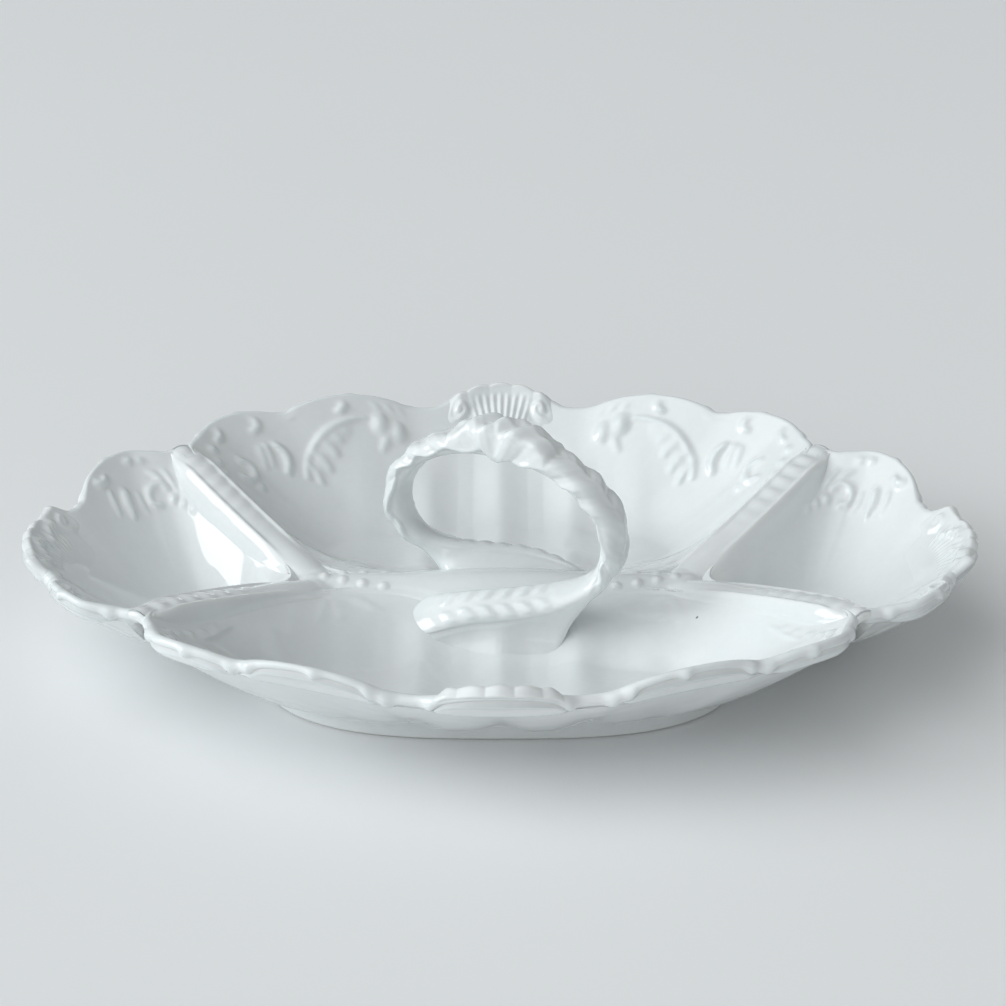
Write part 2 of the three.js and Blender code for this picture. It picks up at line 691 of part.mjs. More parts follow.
const BAR_REACH = 2 * GAP;
const BAR_CEILING_DEPTH = RIM_HEIGHT + DIVIDER_DEPTH + GAP;
const ceilings = WELLS.map(({ outline, floor }) => wellCeiling(outline, floor));
const barCeilings = [
  ...ARMS.map(({ flipX, flipY }) =>
    skin(mirrored(armSections(BAR_REACH, BAR_CEILING_DEPTH, RIM_HEIGHT), flipX, flipY))),
  skin(spineSections(BAR_REACH, BAR_CEILING_DEPTH, RIM_HEIGHT)),
];
addPiece('foot_ring', footRing([...ceilings, ...barCeilings]), BISCUIT);

const spineBed = skin(spineSections(BAR_REACH, JUNCTION_HEIGHT + TAIL_ROOT, GAP));
const broadBeds = WELLS.slice(0, 2).map(({ outline, floor }) => wellBed(outline, floor));
const beds = [spineBed, ...broadBeds];
const JOINT = GAP / RIBBON_LENGTH;
addPiece('handle_loop', cutAway(ribbonStretch(TAIL_SHARE + JOINT, 1 - TAIL_SHARE - JOINT), beds), PORCELAIN);
addPiece('handle_tail_front', cutAway(ribbonStretch(0, TAIL_SHARE), beds), PORCELAIN);
addPiece('handle_tail_rear', cutAway(ribbonStretch(1 - TAIL_SHARE, 1), beds), PORCELAIN);
addPiece('handle_crest', handleCrest(), PORCELAIN);

export default dish;
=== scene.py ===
"""White glazed porcelain serving dish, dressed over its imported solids, with shapes in millimetres."""
import math

import bpy
import numpy as np
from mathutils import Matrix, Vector
from mathutils.bvhtree import BVHTree


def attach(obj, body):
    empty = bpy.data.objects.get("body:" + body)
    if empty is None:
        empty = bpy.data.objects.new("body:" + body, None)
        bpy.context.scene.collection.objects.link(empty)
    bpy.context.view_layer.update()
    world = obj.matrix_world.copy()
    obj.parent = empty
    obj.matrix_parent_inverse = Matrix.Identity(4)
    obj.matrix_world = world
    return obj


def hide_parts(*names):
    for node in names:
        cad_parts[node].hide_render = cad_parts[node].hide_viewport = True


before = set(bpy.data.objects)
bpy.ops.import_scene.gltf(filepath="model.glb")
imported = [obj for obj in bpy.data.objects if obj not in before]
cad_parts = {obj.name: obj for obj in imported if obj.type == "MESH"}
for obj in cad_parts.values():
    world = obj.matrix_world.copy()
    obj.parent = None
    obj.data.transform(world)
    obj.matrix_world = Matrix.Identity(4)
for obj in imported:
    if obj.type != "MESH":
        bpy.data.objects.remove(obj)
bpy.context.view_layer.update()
MM = 0.001
TINY = 1e-9
CURVE_SAMPLES = 80

# Rim: an oval through its notches, and lobes as their angle, half width, reach and rise
RIM_HALF_LENGTH = 157.0
RIM_HALF_WIDTH = 117.0
RIM_HEIGHT = 46.4
SIDE_RIM_DROP = 8.5
BROAD_RIM_DROP = 5.0
RIM_DROP_SHARPNESS = 10
LOBE_ROUNDNESS = 0.65
DIVIDER_ANGLE = 37.9
LOBES = [
    (0.0, 12.0, 9.5, 4.8),
    (25.3, 8.4, 5.2, 4.7),
    (DIVIDER_ANGLE, 6.5, -6.0, 1.2),
    (50.4, 7.0, 3.8, 3.2),
    (67.3, 9.0, 2.8, 5.8),
    (90.0, 8.0, 7.2, 6.1),
]
LOBE_TOP = max(lobe[3] for lobe in LOBES)
LOBE_SOFTNESS = 0.6
RUFFLE = 0.4
RUFFLE_LEVEL = 0.6
RUFFLE_FADE = (1.0, 0.8)
TABLE_SPAN = (-10, 100)
TABLE_STEP = 0.05
CORNER_SEARCH = 30
CORNER_STEPS = 3000

# Shells by their lobe's angle: half width, border lumps, and heights of border, flare and squiggle
SHELLS = {0.0: (12.0, 7, 0.9, 3.4, 1.3), 90.0: (8.0, 5, 1.8, 0.6, 0.0)}
SHELL_COLUMNS = 150
SHELL_ROWS = 70
SHELL_LIP_ROWS = 26
SHELL_REACH_ROWS = 9
SHELL_SPAN = 0.98
SHELL_FOOT = 0.56
SHELL_END = 1.8
SHELL_END_FADE = 1.5
SHELL_LIP_TURN = 2.6
SHELL_TUCK = 0.5
SHELL_DEPTH = 1.4
SHELL_SINK = 0.3
DOME_HEIGHT = 1.1
DOME_RISE = (0.0, 0.45)
DOME_SIDES = (1.0, 0.75)
FAN_ROOT = 0.6
FAN_RIBS = 100.0
FAN_RIB_HEIGHT = 0.45
FAN_START = (0.5, 0.62)
FAN_END = (0.96, 0.86)
FAN_SIDES = (0.6, 0.45)
BORDER_LEVEL = 1.12
BORDER_BOW = 0.2
BORDER_LUMP = 0.28
BORDER_WIDTH = 0.17
BORDER_SIDES = (0.98, 0.7)
GROOVE_DEPTH = 0.45
GROOVE_DROP = 0.3
GROOVE_WIDTH = 0.09
GROOVE_SIDES = (0.8, 0.6)
SQUIGGLE_LEVEL = 0.84
SQUIGGLE_SWING = 0.08
SQUIGGLE_TURNS = 10
SQUIGGLE_WIDTH = 0.075
SQUIGGLE_SIDES = (0.66, 0.5)
VOLUTE_PLACE = (0.76, 0.82)
VOLUTE_TWIST = 1.3
VOLUTE_EYE = 1.6
VOLUTE_HEIGHT = 1.1
VOLUTE_COIL = 0.7
VOLUTE_REACH = 3.8
FLARE_PLACE = 0.8
FLARE_SPREAD = 0.15
FLARE_RISE = (0.5, 1.0)

# Wells
WALL = 4.5
FLOOR_TOP = 9.5
WALL_BOW = 1.4
LOBE_FADE = 1.4
BROAD_FLOOR = dict(x=0.0, y=53.0, half_x=62.0, half_y=16.0, spread_x=110.0, spread_y=56.0)
SIDE_FLOOR = dict(x=105.0, y=0.0, half_x=11.0, half_y=11.0, spread_x=46.0, spread_y=56.0)
FLOOR_EASE = 0.1
BROAD_COUNTS = (330, 78, 84)
SIDE_COUNTS = (250, 84)
OUTLINE_SPREAD = 3
CORNER_SPREAD = 14
JUNCTION_SPREAD = 7
TIP_SPREAD = 5
CORNER_SHARPENS = (0.72, 1.0)
LIP_KEEPS = (1.0, 0.9)
FLUTE_HEIGHT = 3.0
FLUTE_PITCH = 27.0
FLUTE_CREST_SOFTNESS = 0.34
FLUTES_FULL_HALF_LENGTH = 30.0
FLUTES_HALF_LENGTH = 66.0
FLUTE_FADE = (0.4, 0.92)
FLOOR_ROWS = 14
FLOOR_REACH = 0.97
WALL_ROWS = 106
WALL_CROWDING = 0.9
UNDER_RIDGE_ROWS = (0.97, 0.72, 20)
UNDER_WALL_ROWS = (0.69, 0, 14)
UNDER_FLOOR_ROWS = (-0.4, -0.97)
UNDER_FLAT = 0.02
LIP_RADIUS = 2.0
LIP_START = 2.0
LIP_ROWS = 15
LIP_TURN = 3.3
LIP_KNOTS = [12.6, 14.6, 17.0, 25.6, 33.6, 43.4, 51.2, 57.3, 59.6, 68.4, 75.2, 77.0, 82.2]
KNOT_SWELL = 0.38
KNOT_SPREAD = 0.85
LIP_THINNING = 0.4
LIP_BLUNTNESS = 0.15
RIDGE_HEIGHT = 1.2
RIDGE_DROP = 0.8
RIDGE_SPREAD = 1.3
RIDGE_FADE = (0.8, 2.5)
RELIEF = 1.2
RELIEF_FADE = (1.0, 0.94)
RELIEF_PASSES = 3
STROKE_SAMPLES = 40
STROKE_ROUNDNESS = 1.25
BEAD_HALF_LENGTH = 0.1

# Dividers
DIVIDER_WIDTH = 13.0
JUNCTION_X = 66.0
JUNCTION_NEAR = (JUNCTION_X + 30, JUNCTION_X + 14)
JUNCTION_HEIGHT = 24.0
ARM_START_ANGLE = 45.0
ARM_LEAD = 38.0
SPINE_WIDTH = 12.0
SPINE_SWELL = 16.0
SPINE_SWELL_CROWN = 3.0
SPINE_SWELL_HALF_LENGTH = 42.0
SPINE_DIP = 2.0
EDGE_UNDER_ARM = 5.0
EDGE_UNDER_SPINE = 1.2
RIM_CLOSING = 0.6
RIM_CLOSES = (0.45, 1.0)
BAND_CROWN = 1.8
BAND_ROUNDNESS = 0.055
SWELL_ROUNDNESS = 0.065
BAND_EDGE = 4.8
BAND_EDGE_FALL = 0.13
BAND_REACH = 9.5
BAND_BORDER = (1.0, 0.86)
BAND_FILLET = 3.0
BAND_FILLET_PASSES = 12
BAND_SINK = 0.4
NO_WELL = -27.0
RAY_TOP = 100.0
SEAM_SINK = 0.5
SPINE_SEAM = 0.115
SPINE_GRID = ((-86, 86.1), (-30, 30.1))
SPINE_ARM_SAMPLES = 100
SPINE_BLEND = 0.35
SPINE_DEPTH = 3.0
BAND_STEP = 0.6
ARM_EDGE_START = 0.02
ARM_OVERLAP = 0.16
ARM_SEAM = 0.125
ARM_SAMPLE_COUNT = 400
ARM_ROWS = 190
ARM_COLUMNS = 45
ARM_SHAPES = (0.12, 0.34)
ARM_ENDS = (0.8, 1.0)
ARM_HEIGHT = 0.9
ARM_ROUNDNESS = 0.03
ARM_FLANK = 5.2
ARM_FLANK_FALL = 0.6
ARM_RIDGE = 0.8
ARM_RIDGE_PLACE = 4.9
ARM_RIDGE_SPREAD = 0.9
ARM_END_DROP = 1.4
ARM_SIDE_DROP = 4.0
ARM_END_NARROWING = 4.2
ARM_TIP = -1.2
ARM_ROLL = 2.0
ARM_ROLL_TURN = math.pi * 0.72
ARM_ROLL_ROWS = 12
ARM_DEPTH = 3.5
ARM_PLUG = 7.0
ARM_PLUG_LEAN = 1.25
HUSK_SPACING = 7.4
HUSK_HEIGHT = 0.6
HUSK_HALF_WIDTH = 4.8
HUSK_BOW = 0.06
HUSK_FADE = (62, 30)

# Foot ring
FOOT_HALF_LENGTH = 86.0
FOOT_HALF_WIDTH = 72.0
FOOT_SQUARENESS = 3.0
FOOT_THICKNESS = 6.0
FOOT_FLARE = 2.0
FOOT_FLARE_POWER = 1.3
FOOT_FILLET = 4.0
FOOT_FILLET_POWER = 7
FOOT_COLUMNS = 480
FOOT_RAY_BOTTOM = -5.0
FOOT_OUTER_BITE = 0.6
FOOT_INNER_BITE = 1.5
FOOT_INNER_ROWS = ((7.0, 1.0), (6.2, 0.75), (6.0, 0.4))
FOOT_INNER_EDGE = 1.3
FOOT_OUTER_EDGE = 1.5
FOOT_INNER_EDGE_ROWS = 5
FOOT_OUTER_EDGE_ROWS = 7
FOOT_WALL_ROWS = (0.06, 1, 22)

# Handle ribbon's middle line from its top to the front tail's tip, about the ring's axis
HANDLE_X = 1.5
HANDLE_Y = -2.5
HALF_RIBBON = [
    (0, 0, 77), (16, -8.7, 74.5), (29, -15.8, 67), (36.5, -19.2, 55.5), (36.5, -20, 43.5),
    (30, -20.5, 33.5), (18, -20.7, 28.5), (4, -20.6, 26), (-10, -19.6, 24.2), (-22, -17.4, 21.2),
    (-33, -14.6, 17.2),
]
HANDLE_ROWS = 760
HANDLE_SIDES = 120
RIBBON_WIDTH = 13.0
RIBBON_THICKNESS = 6.5
RIBBON_SQUARENESS = 2.7
RING_TURN = -30.0
RING_MIDDLE_HEIGHT = 52.0
TAIL_LENGTH = 62.0
TAIL_TWIST_LENGTH = 62.0
TAIL_TILT = 35.0
TAIL_TAPER = 26.0
TAIL_ROOT = 14.0
TAIL_ROOT_ENDS = (TAIL_LENGTH + 4, TAIL_LENGTH - 18)
ROOT_START = 0.5
ROOT_FACE = 0.05
ROOT_SINK = 1.5
ROOT_SPREAD = 15.0
ROOT_REACH = 3.2
ROOT_FOLLOW = 12.0
ROOT_INNER_SHARE = 0.4
ROOT_FADE = 32.0
NOT_ROOTED = 99.0
TIP_HALF_WIDTH = 8.0
TIP_ROUND = 11.0
TIP_BLUNTNESS = 0.02
TIP_THICKNESS = 0.35
TIP_SINK = 1.5
TIP_SINK_LENGTH = 9.0
LEAF_PITCH = 12.5
LEAF_UNEVENNESS = 0.14
LEAF_UNEVEN_RATE = 2.3
LEAF_BORDER = 1.7
LEAF_BORDER_WAVE = 0.42
LEAF_BORDER_SHARPNESS = 0.7
LEAF_EDGE = 0.3
LEAF_ZONE = (0.5, 0.9)
LEAF_BODY = 0.4
LEAF_PASSES = 3
CURL = 0.55
CURL_PLACE = 4.0
CURL_SPREAD = 6.0
FOLD_HEIGHT = 1.15
FOLD_LEAN = 0.42
FOLD_SHARPNESS = 0.8
VEIN_HEIGHT = 0.2
VEIN_RATE = 4
VEIN_LEAN = 1.5
STEM_HEIGHT = 0.3
STEM_WIDTH = 0.15
LEAF_RIDGE_HEIGHT = 0.45
LEAF_RIDGE_INSET = 0.32
LEAF_RIDGE_SPREAD = 0.2
CHEVRON_HEIGHT = 0.62
CHEVRON_PITCH = 6.6
CHEVRON_LEAN = 5.0
CHEVRON_FACE = (0.3, 0.8)
CHEVRON_START = (6, 16)
CHEVRON_END = (58, 44)
CHEVRON_MIDDLE = (0.08, 0.3)
CHEVRON_SIDES = (0.95, 0.75)
CREST_HEIGHT = 5.8
CREST_HALF_LENGTH = 19.0
CREST_FOLD = 0.32
CREST_FOLD_PITCH = 8.4
CREST_FOLD_LEAN = 4.0
CREST_FACE = (-0.1, 0.75)
CREST_PASSES = 4


def smoothstep(low, high, value):
    share = np.clip((value - low) / (high - low), 0, 1)
    return share * share * (3 - 2 * share)


def bell(value, spread):
    return np.exp(-(value / spread) ** 2)


def unit(vectors):
    return vectors / np.maximum(np.linalg.norm(vectors, axis=-1, keepdims=True), TINY)


def curve(points, count):
    """Points evenly spaced along a centripetal curve through some points, and its length."""
    p = np.asarray(points, float)
    p = np.concatenate([[2 * p[0] - p[1]], p, [2 * p[-1] - p[-2]]])
    line = []
    for i in range(1, len(p) - 2):
        p0, p1, p2, p3 = p[i - 1:i + 3]
        k0 = 0.0
        k1 = k0 + np.linalg.norm(p1 - p0) ** 0.5
        k2 = k1 + np.linalg.norm(p2 - p1) ** 0.5
        k3 = k2 + np.linalg.norm(p3 - p2) ** 0.5
        t = np.linspace(k1, k2, CURVE_SAMPLES, endpoint=False)[:, None]
        a1 = (k1 - t) / (k1 - k0) * p0 + (t - k0) / (k1 - k0) * p1
        a2 = (k2 - t) / (k2 - k1) * p1 + (t - k1) / (k2 - k1) * p2
        a3 = (k3 - t) / (k3 - k2) * p2 + (t - k2) / (k3 - k2) * p3
        b1 = (k2 - t) / (k2 - k0) * a1 + (t - k0) / (k2 - k0) * a2
        b2 = (k3 - t) / (k3 - k1) * a2 + (t - k1) / (k3 - k1) * a3
        line.append((k2 - t) / (k2 - k1) * b1 + (t - k1) / (k2 - k1) * b2)
    line = np.concatenate(line + [p[-2:-1]])
    run = np.concatenate([[0], np.cumsum(np.linalg.norm(np.diff(line, axis=0), axis=1))])
    even = np.linspace(0, run[-1], count)
    return np.stack([np.interp(even, run, line[:, k]) for k in range(p.shape[1])], axis=1), run[-1]


# Meshes
def build_mesh(name, points, *face_sets):
    mesh = bpy.data.meshes.new(name)
    mesh.vertices.add(len(points))
    mesh.vertices.foreach_set("co", (np.asarray(points, float) * MM).astype(np.float32).ravel())
    corners = np.concatenate([np.asarray(faces, np.int32).ravel() for faces in face_sets])
    sizes = np.concatenate([np.full(len(faces), faces.shape[1], np.int32) for faces in face_sets])
    mesh.loops.add(len(corners))
    mesh.loops.foreach_set("vertex_index", corners)
    mesh.polygons.add(len(sizes))
    mesh.polygons.foreach_set("loop_start", (np.cumsum(sizes) - sizes).astype(np.int32))
    mesh.polygons.foreach_set("use_smooth", np.ones(len(sizes), bool))
    mesh.update(calc_edges=True)
    mesh.validate()
    piece = bpy.data.objects.new(name, mesh)
    bpy.context.scene.collection.objects.link(piece)
    return piece


def grid_quads(rows, columns, closed, start=0):
    """Corner numbers of a grid's quads, with columns that close round if asked."""
    r = np.arange(rows - 1)[:, None] * columns + start
    c = np.arange(columns if closed else columns - 1)[None, :]
    nxt = (c + 1) % columns
    return np.stack([r + c, r + nxt, r + columns + nxt, r + columns + c], axis=2).reshape(-1, 4)


def fan(centre, ring, flipped):
    nxt = np.roll(ring, -1)
    first, second = (nxt, ring) if flipped else (ring, nxt)
    return np.stack([np.full(len(ring), centre), first, second], axis=1)


def tube_mesh(name, rows, flipped=False):
    """Closed solid from rows of points that close round, with a fan over each end."""
    count = rows.shape[1]
    points = np.concatenate([rows.reshape(-1, 3), rows[:1].mean(axis=1), rows[-1:].mean(axis=1)])
    quads = grid_quads(len(rows), count, True)
    if flipped:
        quads = quads[:, ::-1]
    last = (len(rows) - 1) * count
    first_end = fan(len(points) - 2, np.arange(count), not flipped)
    last_end = fan(len(points) - 1, last + np.arange(count), flipped)
    return build_mesh(name, points, quads, np.concatenate([first_end, last_end]))


def slab_mesh(name, top, bottom):
    """Closed solid between two equal grids of points."""
    rows, columns = top.shape[:2]
    size = rows * columns
    upper = grid_quads(rows, columns, False)
    lower = grid_quads(rows, columns, False, size)[:, ::-1]
    grid = np.arange(size).reshape(rows, columns)
    ring = np.concatenate([grid[0, :-1], grid[:-1, -1], grid[-1, :0:-1], grid[:0:-1, 0]])
    nxt = np.roll(ring, -1)
    skirt = np.stack([nxt, ring, ring + size, nxt + size], axis=1)
    points = np.concatenate([top.reshape(-1, 3), bottom.reshape(-1, 3)])
    return build_mesh(name, points, upper, lower, skirt)


# Rim, from tables smoothed along it so that the notches are soft
TABLE = np.arange(*TABLE_SPAN, TABLE_STEP)


def fold(degrees):
    return np.degrees(np.arctan2(np.abs(np.sin(np.radians(degrees))), np.abs(np.cos(np.radians(degrees)))))


def lobe_table(column):
    folded = fold(TABLE)
    total = np.zeros_like(TABLE)
    for lobe in LOBES:
        across = (folded - lobe[0]) / lobe[1]
        total += lobe[column] * np.clip(1 - across * across, 0, None) ** LOBE_ROUNDNESS
    reach = np.arange(-4 * LOBE_SOFTNESS, 4 * LOBE_SOFTNESS + TABLE_STEP, TABLE_STEP)
    kernel = np.exp(-0.5 * (reach / LOBE_SOFTNESS) ** 2)
    smooth = np.convolve(total, kernel / kernel.sum(), mode="same")
    for middle, (half, ribs, _, _, _) in SHELLS.items():
        across = (folded - middle) / half
        ripple = np.abs(np.cos(across * ribs * math.pi / 2)) - RUFFLE_LEVEL
        smooth += RUFFLE * ripple * smoothstep(*RUFFLE_FADE, np.abs(across))
    return smooth


REACH_TABLE = lobe_table(2)
RISE_TABLE = lobe_table(3)


def rim_edges(angles):
    """Edge of the rim at angles of the oval, in radians: base, lobe, height and rise."""
    c, s = np.cos(angles), np.sin(angles)
    folded = fold(np.degrees(angles))
    base = np.stack([RIM_HALF_LENGTH * c, RIM_HALF_WIDTH * s], axis=1)
    outward = unit(np.stack([c / RIM_HALF_LENGTH, s / RIM_HALF_WIDTH], axis=1))
    reach = np.interp(folded, TABLE, REACH_TABLE)
    height = RIM_HEIGHT - SIDE_RIM_DROP * np.abs(c) ** RIM_DROP_SHARPNESS
    height = height - BROAD_RIM_DROP * np.abs(s) ** RIM_DROP_SHARPNESS
    rise = np.interp(folded, TABLE, RISE_TABLE)
    lobe = outward * reach[:, None]
    return dict(base=base, lobe=lobe, height=height, rise=rise, lip=np.ones(len(angles)))


def join_edges(*parts):
    return {key: np.concatenate([part[key] for part in parts]) for key in parts[0]}


def flip_edges(edges, flip_x, flip_y):
    flip = np.array([flip_x, flip_y])
    flipped = {key: values * flip for key, values in edges.items() if key.endswith(("base", "lobe"))}
    return dict(edges, **flipped)


# The arm in the quarter with X and Y positive
ARM_DIRECTION = np.array([math.cos(math.radians(ARM_START_ANGLE)), math.sin(math.radians(ARM_START_ANGLE))])
ARM_START = np.array([JUNCTION_X, ARM_DIRECTION[0] * DIVIDER_WIDTH / 2])
ARM_RIM = rim_edges(np.radians([DIVIDER_ANGLE]))
ARM_END = (ARM_RIM["base"] + ARM_RIM["lobe"])[0]
ARM_END_HEIGHT = float((ARM_RIM["height"] + ARM_RIM["rise"])[0])
ARM_CONTROL = ARM_START + ARM_DIRECTION * ARM_LEAD


def arm_points(t):
    t = np.asarray(t)[:, None]
    return (1 - t) ** 2 * ARM_START + 2 * t * (1 - t) * ARM_CONTROL + t ** 2 * ARM_END


def arm_along(t):
    t = np.asarray(t)[:, None]
    return unit(2 * (1 - t) * (ARM_CONTROL - ARM_START) + 2 * t * (ARM_END - ARM_CONTROL))


def arm_across(t):
    along = arm_along(t)
    return np.stack([along[:, 1], -along[:, 0]], axis=1)


def arm_height(t):
    return JUNCTION_HEIGHT + (ARM_END_HEIGHT - JUNCTION_HEIGHT) * np.asarray(t)


def spine_swell(x):
    return np.cos(np.minimum(1, np.abs(x) / SPINE_SWELL_HALF_LENGTH) * math.pi / 2) ** 2


def spine_half_width(x):
    return (SPINE_WIDTH + SPINE_SWELL * spine_swell(x)) / 2


def spine_height(x):
    return JUNCTION_HEIGHT - SPINE_DIP * spine_swell(x)


def plain_edges(points, height):
    zero = np.zeros(len(points))
    return dict(base=points, lobe=np.zeros_like(points), height=height, rise=zero, lip=zero)


def rim_corner(offset):
    """Angle where the rim passes the arm's end at this distance beside its middle line."""
    last = DIVIDER_ANGLE - math.copysign(CORNER_SEARCH, offset)
    angles = np.radians(np.linspace(DIVIDER_ANGLE, last, CORNER_STEPS))
    edge = rim_edges(angles)
    beside = (edge["base"] + edge["lobe"] - ARM_END) @ arm_across([1.0])[0]
    return angles[np.argmax(np.abs(beside) >= abs(offset))]


def arm_edge(offset, t):
    closing = offset * (1 - RIM_CLOSING * smoothstep(*RIM_CLOSES, t))
    return plain_edges(arm_points(t) + arm_across(t) * closing[:, None], arm_height(t))


def soften_edges(edges, spread):
    """Rounds an outline's corners; spread is in samples."""
    reach = np.arange(-3 * spread, 3 * spread + 1)
    kernel = np.exp(-0.5 * (reach / spread) ** 2)
    kernel /= kernel.sum()
    soft = {}
    for key, values in edges.items():
        columns = values.reshape(len(values), -1)
        padded = np.concatenate([columns[-3 * spread:], columns, columns[:3 * spread]])
        smoothed = [np.convolve(padded[:, k], kernel, mode="valid") for k in range(columns.shape[1])]
        soft[key] = np.stack(smoothed, axis=1).reshape(values.shape)
    return soft


def round_corners(edges):
    """Keeps a rounder outline beside the true one, for the lower part of a well's wall."""
    wide = soften_edges(edges, CORNER_SPREAD)
    soft = blend_edges(edges, wide, smoothstep(*LIP_KEEPS, wide["lip"]))
    return dict(edges, **{"soft_" + key: soft[key] for key in ("base", "lobe", "height", "rise")})


def edge_at(edges, key, sharp):
    """An outline's values where its corners are as sharp as asked."""
    true = edges[key]
    soft = edges.get("soft_" + key, true)
    return soft + (true - soft) * (sharp[:, :, None] if true.ndim > 1 else sharp)


def blend_edges(edges, others, share):
    """Outline part of the way from one to another."""
    blended = dict(edges)
    for key in ("base", "lobe", "height", "rise"):
        part = share[:, None] if edges[key].ndim > 1 else share
        blended[key] = edges[key] + (others[key] - edges[key]) * part
    return blended


def back_outline(rim_count, arm_count, spine_count):
    corner = rim_corner(-EDGE_UNDER_ARM * (1 - RIM_CLOSING))
    rim = rim_edges(np.linspace(corner, math.pi - corner, rim_count))
    up = arm_edge(-EDGE_UNDER_ARM, np.linspace(0, 1, arm_count, endpoint=False))
    down = flip_edges({key: values[::-1] for key, values in up.items()}, -1, 1)
    end = JUNCTION_X - DIVIDER_WIDTH
    x = np.linspace(-end, end, spine_count)
    spine = plain_edges(np.stack([x, spine_half_width(x) - EDGE_UNDER_SPINE], axis=1), spine_height(x))
    edges = soften_edges(join_edges(rim, down, spine, up), OUTLINE_SPREAD)
    lip = soften_edges(edges, CORNER_SPREAD)["lip"]
    edges = blend_edges(edges, soften_edges(edges, TIP_SPREAD), 4 * lip * (1 - lip))
    return round_corners(edges)


def right_outline(rim_count, arm_count):
    corner = rim_corner(EDGE_UNDER_ARM * (1 - RIM_CLOSING))
    rim = rim_edges(np.linspace(-corner, corner, rim_count))
    inner = arm_edge(EDGE_UNDER_ARM, np.linspace(ARM_EDGE_START, 1, arm_count, endpoint=False))
    back = {key: values[::-1] for key, values in inner.items()}
    edges = soften_edges(join_edges(rim, back, flip_edges(inner, 1, -1)), OUTLINE_SPREAD)
    rounder = soften_edges(edges, JUNCTION_SPREAD)
    near = smoothstep(*JUNCTION_NEAR, edges["base"][:, 0])
    return round_corners(blend_edges(edges, rounder, near))


# Moulded ornament: strokes in plan for the quarter with X and Y positive, as height, half widths at the
# start, middle and end, and the points that the stroke follows
def bead(x, y, radius, height):
    return (height, (radius, radius, radius), [(x, y - BEAD_HALF_LENGTH), (x, y + BEAD_HALF_LENGTH)])


BROAD_STROKES = [
    (1.4, (0.3, 1.6, 1.1),
     [(49, 106), (56, 104), (63, 100.5), (68.5, 96), (72.2, 91), (73.8, 86.5), (73.2, 82)]),
    (0.6, (3.0, 5.0, 3.0), [(60, 100), (66, 95), (69, 90), (69.5, 85)]),
    (0.9, (1.2, 2.2, 1.7), [(65.5, 99), (63.6, 97), (61.6, 96.4)]),
    (1.0, (1.2, 2.4, 1.8), [(69.5, 95), (66.5, 93.8), (63, 92)]),
    (1.0, (1.2, 2.4, 1.8), [(72, 91), (68.6, 89.4), (65.4, 87)]),
    (0.9, (1.2, 2.0, 1.4), [(73, 86.6), (70, 84.6), (68, 82)]),
    bead(46.4, 104.6, 4.2, 1.7),
    bead(39.6, 103.8, 4.0, 1.6),
    (0.9, (2.4, 2.0, 0.8), [(43, 103.5), (43.8, 100.5), (45.4, 96.5)]),
    (1.2, (1.5, 1.3, 0.5), [(89.3, 87), (87.4, 84.4), (86, 81.4)]),
    (1.5, (1.4, 2.4, 1.2), [(86, 88.6), (82.6, 87.4), (80.6, 84.8), (80.6, 81.2)]),
    (1.1, (1.3, 1.3, 0.5), [(91.6, 85.4), (90, 82.6), (88.6, 79.6)]),
    (1.4, (1.2, 1.9, 1.4), [(98.5, 76.5), (95, 77), (92.6, 74), (93.6, 70.4), (96.4, 69.8)]),
    bead(90, 70.5, 2.4, 1.0),
    bead(108, 74, 1.9, 1.3),
    bead(105.4, 69.4, 1.8, 1.2),
    bead(102.4, 64.4, 1.7, 1.1),
    bead(99, 58.8, 1.6, 1.0),
    bead(95.6, 53.6, 1.4, 0.9),
    (0.8, (0.5, 0.9, 0.4), [(99.6, 63.6), (95.4, 56), (91.4, 48.4)]),
    (1.5, (1.0, 1.6, 1.2), [(112.4, 78.6), (112.2, 82.6), (109, 84.6), (106, 82.6), (107.2, 79.4)]),
    (1.4, (1.1, 1.5, 1.2), [(98.4, 94.4), (95, 94.6), (92.6, 92.2), (94.2, 90)]),
    (1.4, (0.9, 1.7, 0.9), [(78.4, 101.8), (81.2, 99.2), (84.6, 98.2)]),
    (1.4, (0.9, 1.6, 1.2), [(67, 108.6), (63, 108.8), (60.4, 106.6), (62.4, 104.6)]),
    (0.7, (0.7, 1.2, 0.6), [(50.5, 111.6), (48.4, 110), (47, 108.8)]),
    (0.8, (0.7, 1.3, 0.6), [(46.2, 113), (44.2, 111.4), (42.8, 110)]),
    (0.7, (0.7, 1.2, 0.6), [(41, 113.6), (39.6, 112), (38.6, 110.4)]),
    (1.0, (0.6, 1.3, 0.5), [(53.5, 9.5), (48, 12.4), (42, 16)]),
    (0.9, (1.0, 1.2, 0.4), [(57.5, 11.5), (56, 17), (55, 23.5)]),
    (0.7, (0.8, 1.0, 0.4), [(61, 14.5), (61.5, 20), (62.5, 26)]),
]
